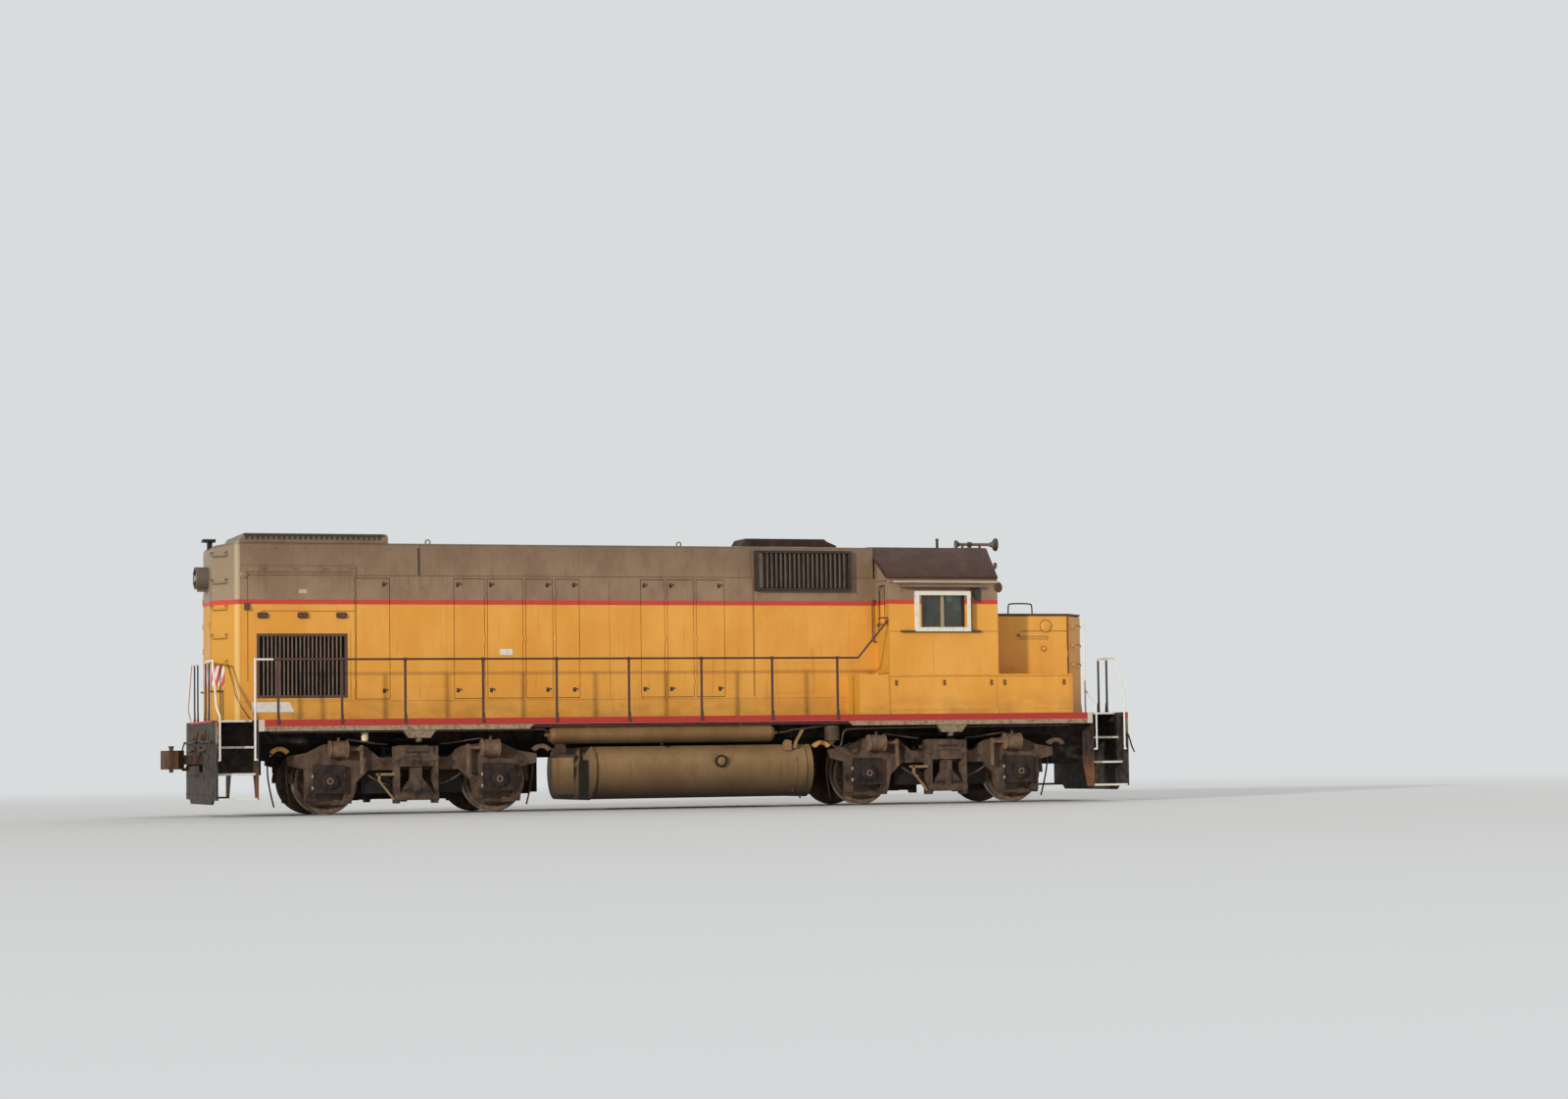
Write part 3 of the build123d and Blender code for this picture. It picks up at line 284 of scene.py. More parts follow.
class Paint:
    """A procedural material in the making: patches in millimetres, places in metres, colours as sRGB hex."""

    def __init__(self, name, roughness, specular=0.5, metallic=0.0):
        self.material = PAINTS[name] = bpy.data.materials.new(name)
        self.material.use_nodes = True
        self.tree = self.material.node_tree
        self.shader = self.tree.nodes["Principled BSDF"]
        self.shader.inputs["Roughness"].default_value = roughness
        self.shader.inputs["Specular IOR Level"].default_value = specular
        self.shader.inputs["Metallic"].default_value = metallic
        self.place = add_node(self.tree, "ShaderNodeTexCoord").outputs["Object"]

    def calc(self, operation, *values):
        """One step of arithmetic."""
        return add_node(self.tree, "ShaderNodeMath", dict(enumerate(values)),
                        operation=operation).outputs[0]

    def both(self, first, second):
        """Two masks multiplied."""
        return self.calc("MULTIPLY", first, second)

    def rise(self, value, low, high, first=0.0, last=1.0, shape="LINEAR"):
        """A value that goes from first at the low mark to last at the high one; the marks may be swapped."""
        spans = {"Value": value, "From Min": low, "From Max": high, "To Min": first, "To Max": last}
        return add_node(self.tree, "ShaderNodeMapRange", spans, interpolation_type=shape).outputs[0]

    def along(self, axis, mirrored=False):
        """A coordinate of the surface, which may be the same on both sides."""
        part = add_node(self.tree, "ShaderNodeSeparateXYZ", {0: self.place}).outputs[axis]
        return self.calc("ABSOLUTE", part) if mirrored else part

    def facing(self, axis):
        """How far the surface faces along an axis."""
        normal = add_node(self.tree, "ShaderNodeNewGeometry").outputs["Normal"]
        return add_node(self.tree, "ShaderNodeSeparateXYZ", {0: normal}).outputs[axis]

    def settled(self, low, high):
        """A mask of the faces that dust and soot settle on."""
        return self.rise(self.facing("Z"), low, high)

    def mottle(self, across_mm, down_mm, low, high, detail=4.0):
        """A soft mask of patches, stretched down the side, 0 under the low mark and 1 over the high one."""
        stretch = (1000 / across_mm, 1000 / across_mm, 1000 / down_mm)
        scaled = add_node(self.tree, "ShaderNodeVectorMath", {0: self.place, 1: stretch},
                          operation="MULTIPLY")
        settings = {"Vector": scaled.outputs[0], "Scale": 1.0, "Detail": detail,
                    "Roughness": NOISE_ROUGHNESS}
        noise = add_node(self.tree, "ShaderNodeTexNoise", settings)
        return self.rise(noise.outputs["Fac"], low, high, shape="SMOOTHSTEP")

    def height(self, low, high):
        """A mask that goes from 0 at one height to 1 at another."""
        return self.rise(self.along("Z"), RAIL + low, RAIL + high)

    def span(self, axis, low, high, mirrored=False, soft=0.004):
        """A mask that is 1 between two places along an axis."""
        place = self.along(axis, mirrored)
        base = RAIL if axis == "Z" else 0.0
        return self.both(self.rise(place, base + low - soft, base + low),
                         self.rise(place, base + high + soft, base + high))

    def lay(self, under, over, mask, strength=1.0):
        """One colour over another where a mask says, at most as strongly as given."""
        below, above = (linear(c) if isinstance(c, str) else c for c in (under, over))
        colours = {0: self.calc("MULTIPLY", mask, strength), 6: below, 7: above}
        return add_node(self.tree, "ShaderNodeMix", colours, data_type="RGBA").outputs[2]

    def finish(self, colour, grain_mm=None, depth_mm=0.0, low=0.2, high=0.8, detail=4.0):
        """Set the colour, and a bump of a grain and depth if one is given."""
        self.tree.links.new(colour, self.shader.inputs["Base Color"])
        if grain_mm:
            grain = self.mottle(grain_mm, grain_mm, low, high, detail)
            bump = add_node(self.tree, "ShaderNodeBump",
                            {"Height": grain, "Distance": depth_mm / 1000, "Strength": 1.0})
            self.tree.links.new(bump.outputs["Normal"], self.shader.inputs["Normal"])
        return self.material


def livery_enamel(colours, name="livery_enamel", shaded_inside=False):
    """Enamel on sheet steel, faded and sooted: yellow, a red stripe, warm grey above; painted light on the
    faces turned to the rear, a painted highlight down the rear corners, and near-black painted shade inside
    the cab.
    """
    paint = Paint(name, 0.42, 0.4)
    fade = paint.mottle(700, 1500, 0.35, 0.7)
    # painted light on the faces turned to the rear, which the key lamp strikes: the yellow darkened and the
    # grey paled there; the hood's bevels and end, the boxes' ends, the cab's rear
    painted_light_rearward = paint.span("X", -7.70, -7.305)
    outboard = paint.span("Y", 0.98, 1.60, mirrored=True)
    for wall in (2.89, 3.43):
        rear_wall_light = paint.both(paint.span("X", wall - 0.03, wall + 0.004), outboard)
        painted_light_rearward = paint.calc("MAXIMUM", painted_light_rearward, rear_wall_light)
    # painted highlight: a pale strip down each rear corner
    corner_highlight = paint.span("X", -7.335, -7.280, soft=0.02)
    # body colour with fading, long stains, and dirt thrown up from the walkway
    yellow = paint.lay(tuple(colours.body), "E1A044", fade)
    yellow = paint.lay(yellow, "A8752E", paint.mottle(55, 900, 0.56, 0.78, 6.0), 0.45)
    dirt = paint.both(paint.height(1.95, 1.48), paint.mottle(420, 200, 0.3, 0.7, 6.0))
    yellow = paint.lay(yellow, "94682F", dirt, 0.55)
    # painted light: darker yellow on the rear faces, then a painted highlight on the corners
    yellow = paint.lay(yellow, "C28B2E", painted_light_rearward, 0.9)
    yellow = paint.lay(yellow, "D9B068", corner_highlight, 0.8)
    # upper colour, darker towards the exhaust
    grey = paint.lay(tuple(colours.upper), "93785D", paint.mottle(500, 700, 0.35, 0.65))
    grey = paint.lay(grey, "5C4836", paint.mottle(45, 700, 0.52, 0.74, 6.0), 0.5)
    grey = paint.lay(grey, "54412F", paint.height(3.45, 4.30), 0.38)
    # painted light: paler grey on the rear faces, then a painted highlight on the corners
    grey = paint.lay(grey, "8E7B62", painted_light_rearward, 0.7)
    grey = paint.lay(grey, "B5A182", corner_highlight, 0.7)
    colour = paint.lay(yellow, grey, paint.height(STRIPE_HIGH - 0.002, STRIPE_HIGH))
    stripe = paint.both(paint.height(STRIPE_LOW, STRIPE_LOW + 0.002),
                        paint.height(STRIPE_HIGH, STRIPE_HIGH - 0.002))
    red = paint.lay(tuple(colours.stripe), "A8553A", paint.mottle(260, 60, 0.5, 0.75))
    colour = paint.lay(colour, red, stripe)
    soot = paint.both(paint.settled(0.2, 0.8), paint.mottle(1100, 1100, -0.1, 0.9))
    colour = paint.lay(colour, "483A2E", soot, 0.8)
    colour = paint.lay(colour, "5E3A24", paint.mottle(30, 30, 0.7, 0.74, 8.0), 0.55)
    # painted shade: near-black green on the cab's inside walls
    if shaded_inside:
        inside = paint.both(paint.span("X", CAB_INSIDE_REAR, CAB_INSIDE_FRONT),
                            paint.span("Y", 0.0, CAB_INSIDE_HALF, mirrored=True))
        colour = paint.lay(colour, "262A22", inside)
    paint.tree.links.new(paint.rise(fade, 0.0, 1.0, 0.36, 0.55), paint.shader.inputs["Roughness"])
    return paint.finish(colour, 420, 3.0, 0.0, 1.0, 1.0)


def soot_paint(name, fresh, washed):
    """Flat dark roof paint baked by exhaust: brown-black with paler rain washes."""
    paint = Paint(name, 0.7, 0.15)
    colour = paint.lay(fresh, washed, paint.mottle(240, 500, 0.4, 0.72, 6.0))
    colour = paint.lay(colour, "5A3826", paint.mottle(90, 160, 0.62, 0.76, 7.0), 0.55)
    return paint.finish(colour, 30, 0.8)


def underframe_paint():
    """Black underframe enamel under road dirt, with the red sill band and the tan flange below it."""
    paint = Paint("underframe_enamel", 0.7, 0.3)
    edge = paint.rise(paint.along("Y", mirrored=True), 1.542, 1.546)
    outer = paint.rise(paint.along("Y", mirrored=True), 1.45, 1.49)
    colour = paint.lay("211C19", "54463A", paint.mottle(140, 160, 0.35, 0.7, 7.0), 0.8)
    colour = paint.lay(colour, "1C1511", paint.span("X", 7.90, 8.40, mirrored=True), 0.75)
    tan = paint.lay("9A876B", "6E5B45", paint.mottle(70, 70, 0.4, 0.7, 6.0))
    colour = paint.lay(colour, tan, paint.both(paint.height(1.11, 1.15), outer), 0.75)
    colour = paint.lay(colour, tan, paint.both(paint.height(1.25, 1.26), edge))
    red = paint.lay("A9342D", "7E3A2C", paint.mottle(90, 60, 0.5, 0.8, 6.0), 0.7)
    colour = paint.lay(colour, red, paint.both(paint.height(1.372, 1.376), edge))
    colour = paint.lay(colour, "C9BEAA", paint.both(paint.span("X", 7.00, 7.12, mirrored=True), edge), 0.85)
    colour = paint.lay(colour, "4C423A", paint.both(paint.settled(0.6, 0.9), paint.height(1.46, 1.475)))
    return paint.finish(colour, 35, 0.8)


def dusty_paint(name, under, dust, amount, streak_mm=90, down_mm=300):
    """Dark paint under a coat of road dust, thicker on what faces up, washed into streaks by rain."""
    paint = Paint(name, 0.72, 0.3)
    colour = paint.lay(under, dust, paint.mottle(streak_mm, down_mm, 0.3, 0.68, 7.0), amount)
    settled = paint.both(paint.settled(0.1, 0.9), paint.mottle(60, 60, 0.15, 0.6))
    return paint.finish(paint.lay(colour, dust, settled, 0.8), 24, 1.0)


def tank_enamel(name, base, light, belly_shade):
    """Faded brown tank paint, with painted shade darkening it towards the bottom, and faint rusty fuel runs
    down the side.
    """
    paint = Paint(name, 0.6, 0.2)
    colour = paint.lay(base, light, paint.mottle(420, 500, 0.3, 0.7, 3.0))
    colour = paint.lay(colour, "6B4428", paint.mottle(110, 1600, 0.5, 0.8, 3.0), 0.45)
    # painted shade: darker towards the bottom of the tank
    return paint.finish(paint.lay(colour, "1A1410", paint.height(*belly_shade), 0.95), 300, 2.0, 0.0, 1.0, 2.0)


def grille_enamel(name, bar, border, opening):
    """Bars of a grille in dull brown enamel, soot-black at the roots, their faces between the bars near black
    as painted shade; its frame in the body's grey.
    """
    paint = Paint(name, 0.65)
    inside = paint.both(paint.span("X", *opening[0]), paint.span("Z", *opening[1]))
    bars = paint.lay(bar, "2A211B", paint.mottle(60, 260, 0.4, 0.75, 5.0), 0.7)
    # painted shade: faces turned away from the side, between the bars, near black
    between_bars_shade = paint.rise(paint.calc("ABSOLUTE", paint.facing("Y")), 0.8, 0.4)
    bars = paint.lay(bars, "14110F", between_bars_shade, 0.9)
    border = paint.lay(border, "5A4C3E", paint.mottle(70, 200, 0.45, 0.75, 5.0), 0.5)
    return paint.finish(paint.lay(border, bars, inside))


def rail_enamel():
    """Dark brown handrail enamel, with the first stretch beside the rear steps in white."""
    paint = Paint("handrail_enamel", 0.5)
    brown = paint.lay("4A2F2A", "6B4436", paint.mottle(40, 40, 0.5, 0.72, 7.0), 0.6)
    white = paint.lay("D8D1C3", "9C8A76", paint.mottle(30, 60, 0.5, 0.75, 6.0), 0.5)
    return paint.finish(paint.lay(brown, white,
                                  paint.both(paint.span("X", -8.0, -6.86), paint.height(2.36, 2.38))))


def end_rail_enamel():
    """White enamel on the end rails, dark brown on the upright bars in the middle."""
    paint = Paint("end_rail_enamel", 0.5)
    white = paint.lay("DCD5C8", "97836C", paint.mottle(30, 70, 0.5, 0.75, 7.0), 0.55)
    upright = paint.both(paint.span("Y", 0.30, 0.80, mirrored=True), paint.height(2.395, 2.385))
    return paint.finish(paint.lay(white, "3A2822", upright))


def step_enamel():
    """Black step sheets worn to rust where boots and ballast strike, worst low down."""
    paint = Paint("step_enamel", 0.75)
    colour = paint.lay("241D19", "5A4636", paint.mottle(120, 160, 0.4, 0.7, 7.0), 0.7)
    rust = paint.both(paint.height(0.85, 0.45), paint.mottle(160, 160, 0.2, 0.6))
    return paint.finish(paint.lay(colour, "83522F", rust, 0.85), 16, 0.8)


def cast_steel():
    """Sand-cast truck steel: brake dust and rust over old black paint, near-black in broad patches, and
    painted shade that darkens it low down.
    """
    paint = Paint("cast_truck_steel", 0.78, 0.25)
    colour = paint.lay("46372D", "66503F", paint.mottle(160, 220, 0.3, 0.68, 6.0))
    colour = paint.lay(colour, "744228", paint.mottle(90, 90, 0.58, 0.76, 6.0), 0.45)
    colour = paint.lay(colour, "15100E", paint.mottle(300, 260, 0.5, 0.7), 0.8)
    # painted shade: darker towards the bottom
    low = paint.both(paint.height(0.55, 0.15), paint.mottle(220, 120, 0.25, 0.6))
    colour = paint.lay(colour, "2A211B", low, 0.5)
    settled = paint.both(paint.settled(0.2, 0.9), paint.mottle(50, 50, 0.1, 0.6))
    return paint.finish(paint.lay(colour, "86694C", settled, 0.7), 9, 1.2)


def plain_paint(name, fresh, worn, rough=0.55, wear=0.6):
    """Hand-brushed enamel on bar, tube or sheet, worn through in patches."""
    paint = Paint(name, rough, 0.35)
    return paint.finish(paint.lay(fresh, worn, paint.mottle(60, 120, 0.5, 0.72, 7.0), wear), 12, 0.3)


def cab_floor_paint(body):
    """Non-slip floor paint inside the cab, and the body's enamel on the edges that show outside."""
    paint = Paint("floor_paint", 0.6)
    return paint.finish(paint.lay("35352E", body, paint.span("Y", 1.50, 1.56, mirrored=True)))


def window_glass():
    """Tinted safety glass with a film of dust."""
    paint = Paint("tinted_glass", 0.06, 0.3)
    paint.shader.inputs["IOR"].default_value = 1.5
    paint.shader.inputs["Transmission Weight"].default_value = 0.92
    return paint.finish(paint.lay("A3A89A", "837C66", paint.mottle(180, 260, 0.4, 0.75, 5.0), 0.5))


def wheel_steel():
    """Forged wheel steel under brake dust."""
    paint = Paint("forged_wheel_steel", 0.5)
    return paint.finish(paint.lay("4A382B", "80644A", paint.mottle(90, 90, 0.3, 0.7, 6.0)))


def bright_tread():
    """Tread steel polished by the rail, with a dull film away from the contact band."""
    paint = Paint("polished_tread_steel", 0.28, metallic=0.9)
    return paint.finish(paint.lay("B9B2A8", "6E5A48", paint.mottle(60, 60, 0.45, 0.8, 6.0), 0.6))


def lamp_lens():
    """Pressed clear glass over a silvered reflector, a little dusty."""
    paint = Paint("lamp_glass", 0.12, metallic=0.5)
    return paint.finish(paint.lay("C9CBC6", "8C8578", paint.mottle(40, 40, 0.4, 0.8), 0.6))


def warning_bands():
    """Red and white enamel in slanting bands, worn at the edges."""
    paint = Paint("striped_enamel", 0.5)
    lean = paint.calc("MULTIPLY_ADD", paint.along("Z"), BAND_LEAN, paint.along("Y", mirrored=True))
    phase = paint.calc("FRACT", paint.calc("DIVIDE", lean, BAND_PITCH))
    colour = paint.lay("D8D0C4", "BE3A33", paint.calc("GREATER_THAN", phase, 0.5))
    return paint.finish(paint.lay(colour, "8E7560", paint.mottle(70, 110, 0.5, 0.75, 6.0), 0.5))


# name, fresh colour, colour where worn, roughness, how strongly it is worn
TRIM_PAINTS = (
    ("black_enamel", "1D1A18", "3E342C", 0.55, 0.4),
    ("headlight_enamel", "65574A", "4A3C30", 0.55, 0.4),
    ("lamp_housing_enamel", "3B342E", "5A4A3C", 0.55, 0.6),
    ("brown_enamel", "54382F", "74503E", 0.55, 0.6),
    ("white_trim_enamel", "DAD3C4", "A08C74", 0.55, 0.5),
    ("pale_enamel", "B5A88F", "8E8068", 0.55, 0.6),
    ("tan_enamel", "9C8868", "7C6A50", 0.55, 0.6),
    ("rolled_shade_cloth", "7CB8AE", "578C86", 0.8, 0.6),
    ("red_enamel", "C0392F", "8A4434", 0.55, 0.6),
    ("worn_handle_steel", "5C4C40", "3A2E26", 0.45, 0.6),
    ("strap_steel", "8A6B48", "5E4630", 0.55, 0.6),
    ("oily_black", "17120E", "33271D", 0.7, 0.6),
    # painted light: ochre made bright for the rear arches over the trucks
    ("ochre_painted_light", "D29C4C", "8A6233", 0.7, 0.6),
    ("seam_brown", "5E4128", "44301F", 0.8, 0.6),
    ("ivory_plate_enamel", "BDA574", "8E7850", 0.55, 0.6),
    ("cream_enamel", "D9C79C", "A38F68", 0.55, 0.4),
    # painted shade: the dark folded sheet inside the left window
    ("blind_cloth", "2B2C26", "1E1F1A", 0.9, 0.6),
    ("rubbed_cap_steel", "7A5E44", "4E3A2A", 0.55, 0.6),
    ("umber_enamel", "6E4522", "4E3018", 0.55, 0.6),
    ("rubber_seal", "1B1918", "2E2A26", 0.8, 0.6),
    ("milk_glass", "C9C6BA", "9A9484", 0.2, 0.3),
)


def mix_trim_paints():
    """The finishes that only added pieces wear."""
    for name, fresh, worn, rough, wear in TRIM_PAINTS:
        plain_paint(name, fresh, worn, rough, wear)
    soot_paint("roof_enamel", "68523F", "7A624C")
    bright_tread()
    lamp_lens()
    warning_bands()


# The pieces that come from the frame, with their finishes

def finish_frame(colours):
    """Paint every piece of the frame; what isn't named here wears the body's enamel."""
    livery = livery_enamel(colours)
    cab = livery_enamel(colours, "cab_enamel", shaded_inside=True)
    brake = dusty_paint("brake_cylinder_enamel", "5A4636", "86694F", 0.8, streak_mm=120, down_mm=120)
    greasy = dusty_paint("greasy_cast_steel", "17120F", "42322A", 0.7, streak_mm=110, down_mm=160)
    by_kind = {"wheelset": wheel_steel(), "journal": greasy, "motors": greasy, "brake": brake,
               "truck": cast_steel()}
    finishes = {
        "underframe": underframe_paint(),
        "corner_steps": step_enamel(),
        "couplers": dusty_paint("coupler_steel", "33261E", "6B4A34", 0.8),
        "underfloor_boxes": dusty_paint("box_enamel", "2C231C", "6A543D", 0.7, streak_mm=260, down_mm=420),
        "cab_side_walls": cab,
        "cab_front_wall": cab,
        "cab_rear_wall": cab,
        "fuel_tank": tank_enamel("tank_enamel", "7F6240", "8D704C", (0.78, 0.12)),
        "air_reservoirs": tank_enamel("reservoir_enamel", "70522F", "7F6140", (1.20, 1.00)),
        "cab_roof": soot_paint("sooty_cab_enamel", "452C22", "553A2D"),
        "roof_hump": soot_paint("silencer_paint", "35271F", "493830"),
        "cab_floor": cab_floor_paint(tuple(colours.body)),
        "control_stand": plain_paint("stand_paint", "6E7A6A", "4D5448"),
        "cab_seats": plain_paint("seat_vinyl", "2E2C2A", "1C1B1A", rough=0.45),
        "cab_glass": window_glass(),
        "radiator_grilles": grille_enamel("grille_enamel", "7C624E", "50392C", RADIATOR_OPENING),
        "intake_grilles": grille_enamel("louvre_enamel", "614F3F", "261E18", INTAKE_OPENING),
        "engine": plain_paint("engine_enamel", "5E625E", "3B3A36"),
        "side_handrails": rail_enamel(),
        "end_handrails": end_rail_enamel(),
        "lamps": soot_paint("lamp_black", "5A4A3C", "6A5A4A"),
        "horn": plain_paint("horn_paint", "6B5A4A", "3A302A"),
    }
    for name, node in NODES.items():
        kinds = [finish for kind, finish in by_kind.items() if kind in name]
        node.data.materials.clear()
        node.data.materials.append(kinds[0] if kinds else finishes.get(name, livery))


# Long hood: door furniture, seams, caps and grab irons

HOOD_FACE = 0.900               # half the hood's width
HOOD_END = -7.640               # the hood's end wall
POST_HALF = 0.020               # half a post between two doors
LATCH_HEIGHTS = (1.936, 3.637)
HINGE_HEIGHTS = (2.05, 2.77, 3.49)
DOORS = (
    # name, rear seam x, front seam x, hinge side: 1 at the front edge, -1 at the rear edge
    ("a", -5.464, -4.850, -1),
    ("b", -3.846, -3.296, 1),
    ("c", -3.296, -2.661, 1),
    ("d", -2.661, -2.157, -1),
    ("e", -2.157, -1.709, -1),
    ("f", -0.714, -0.257, 1),
    ("g", -0.257, 0.241, 1),
    ("h", 0.241, 0.779, -1),
)
SIDES = ((-1, "right"), (1, "left"))
# the bevel between the hood's right side and its end: where it starts, its way, and its way out
BEVEL_START = Vector((-7.3, -0.9, 0))
BEVEL_ALONG = Vector((-0.5861, 0.8102, 0))
BEVEL_OUT = Vector((-0.8102, -0.5861, 0))


def on_bevel(along, out, height):
    """A point on the right bevel, by its distances along it and out from it."""
    place = BEVEL_START + BEVEL_ALONG * along + BEVEL_OUT * out
    return (place.x, place.y, height)


def hood_doors(sizes):
    """Two latches and three hinges on each hood door, and the bare plate on one of them."""
    paints = ("livery_enamel", "black_enamel", "worn_handle_steel", "white_trim_enamel")
    for side, side_name in SIDES:
        face = side * HOOD_FACE
        for name, rear, front, hinge in DOORS:
            form = Form()
            latch_x = front - sizes.latch_inset if hinge < 0 else rear + sizes.latch_inset
            hinge_x = rear + POST_HALF if hinge < 0 else front - POST_HALF
            for z in LATCH_HEIGHTS:
                # a black plate behind each latch as painted shade of its recess
                form.coat = 1
                form.block((latch_x - 0.042, face, z - 0.034),
                           (latch_x + 0.006, face + side * 0.004, z + 0.034))
                form.coat = 2
                form.block((latch_x - 0.030, face + side * 0.003, z + 0.004),
                           (latch_x + 0.040, face + side * 0.011, z + 0.022))
                form.turned((latch_x + 0.028, face, z + 0.010), (0, side, 0),
                            ((0, 0.017), (0.009, 0.017), (0.011, 0.012)), 10)
            form.coat = 0
            for z in HINGE_HEIGHTS:
                form.turned((hinge_x, face + side * 0.006, z - 0.055), UPWARD,
                            ((0, 0.006), (0.002, 0.008), (0.108, 0.008), (0.11, 0.006)), 10)
            if name == "c" and side < 0:
                form.coat = 3
                form.block((-3.071, face, 2.502), (-2.860, face + side * 0.003, 2.598))
            form.show(f"door_fittings_{side_name}_{name}", paints, f"hood_door_{side_name}_{name}",
                      "body_paint", bevel_mm=1.5)


def hood_trim(sizes):
    """Ledges, covers, seams, plates, lifting eyes and grab irons on the long hood."""
    face = -HOOD_FACE
    # ledge under the doors, and the radiator's long hinge cover with its hinges
    form = Form()
    form.block((-7.30, face, 1.776), (3.40, face - 0.010, 1.790))
    form.block((-7.25, face, 3.835), (-5.42, face - 0.012, 3.925))
    for z in (3.828, 3.922):
        form.block((-7.25, face, z), (-5.42, face - 0.020, z + 0.008))
    for x in (-6.90, -6.40, -5.90, -5.50):
        form.pin((x - 0.05, face - 0.016, 3.88), FORWARD, 0.009, 0.10)
    # frame round the grille
    form.rim("Y", (-7.055, -5.515), (1.800, 2.895), 0.045, (face, face - 0.010))
    # access panels ahead of the doors
    for x0, x1, z0, z1 in ((1.42, 2.18, 2.35, 3.20), (2.24, 2.95, 2.35, 3.20),
                           (1.42, 2.30, 1.86, 2.24), (-4.75, -3.95, 2.0, 3.62)):
        form.block((x0, face, z0), (x1, face - 0.004, z1))
        form.bolts([(x, face - 0.004, z) for x in (x0 + 0.04, (x0 + x1) / 2, x1 - 0.04)
                    for z in (z0 + 0.04, z1 - 0.04)], OUTWARD, 0.020, 0.008)
    # bolts along the hatches' lower edges
    form.bolts([(-7.15 + k * 0.452, face, 4.205) for k in range(19)], OUTWARD, 0.022, 0.010)
    # sand hatch at the rear corner
    form.turned((-7.205, face, 3.785), OUTWARD,
                ((0, 0.062), (0.012, 0.062), (0.020, 0.050), (0.024, 0.020)), 24)
    form.mirrored().show("hood_trim", "livery_enamel", slot="body_paint")

    # seams between the sheets, and the rubber where two hatches meet
    form = Form()
    for x0, x1, z0, z1 in ((-7.25, 3.39, 3.772, 3.781), (-6.93, -5.43, 3.203, 3.211),
                           (-7.153, -7.145, 2.10, 3.82), (-5.424, -5.416, 1.80, 3.82),
                           (1.255, 1.267, 1.80, 3.76)):
        form.block((x0, face, z0), (x1, face - 0.003, z1))
    form.coat = 1
    form.block((-4.410, face, 3.79), (-4.392, face - 0.003, 4.22))
    form.mirrored().show("hood_seals", ("seam_brown", "rubber_seal"), slot="lamp_black", bevel_mm=0)
    # rounded corner posts between the sides and the bevels
    form = Form()
    form.pin((-7.275, -0.858, 1.50), UPWARD, 0.045, 2.62, 32)
    form.mirrored().show("corner_posts", "livery_enamel", slot="body_paint", bevel_mm=0)

    # lifting-lug covers over the grille, and the small brackets at the rear corner
    form = Form()
    half = 0.062
    cover = ((0.050, 3.105), (0.050, 3.165), (0.012, 3.187), (0.0, 3.187), (0.0, 3.092), (0.030, 3.092))
    for x in (-6.912, -6.274, -5.655):
        form.prism([(face - out, z) for out, z in cover], "X", x - half, x + half)
        for tab in (x - half - 0.012, x + half + 0.012):
            form.block((tab - 0.010, face, 3.10), (tab + 0.010, face - 0.006, 3.18))
    bracket = ((0.0, 3.22), (0.050, 3.22), (0.018, 3.33), (0.0, 3.33))
    form.prism([(face - out, z) for out, z in bracket], "X", -7.205, -7.120)
    form.mirrored().show("hood_caps", "brown_enamel", slot="handrail_paint")

    # bare plates: the long one low at the rear corner, and a small pale one higher up
    form = Form()
    form.prism([(-7.087, 1.608), (-6.410, 1.608), (-6.490, 1.766), (-7.087, 1.766)], "Y", face - 0.004,
               face)
    form.coat = 1
    form.block((-6.334, face, 3.490), (-6.205, face - 0.003, 3.550))
    form.mirrored().show("bare_plates", ("white_trim_enamel", "ivory_plate_enamel"), slot="white_paint",
                         bevel_mm=1.0)

    # lifting eyes on the roof's shoulders
    form = Form()
    eye = [(0.011 * math.cos(a), 0.038 + 0.011 * math.sin(a)) for a in around(8)]
    for x in (-4.158, 0.097):
        for y in (-0.50, 0.50):
            form.ring((x, y, 4.345), (0, 1, 0), eye, 24)
            form.block((x - 0.06, y - 0.03, 4.290), (x + 0.06, y + 0.03, 4.314))
    form.show("lifting_eyes", "roof_enamel", slot="roof_paint")

    # grab irons up the right bevel, each hanging a little below its feet
    rungs = []
    for height in sizes.grab_heights:
        low = height - 0.060
        rungs.append([on_bevel(0.24, -0.01, height), on_bevel(0.24, 0.050, height),
                      on_bevel(0.24, 0.066, low), on_bevel(0.27, 0.068, low), on_bevel(0.53, 0.068, low),
                      on_bevel(0.56, 0.066, low), on_bevel(0.56, 0.050, height),
                      on_bevel(0.56, -0.01, height)])
    tubes("bevel_grabs", rungs, 0.011, "livery_enamel")


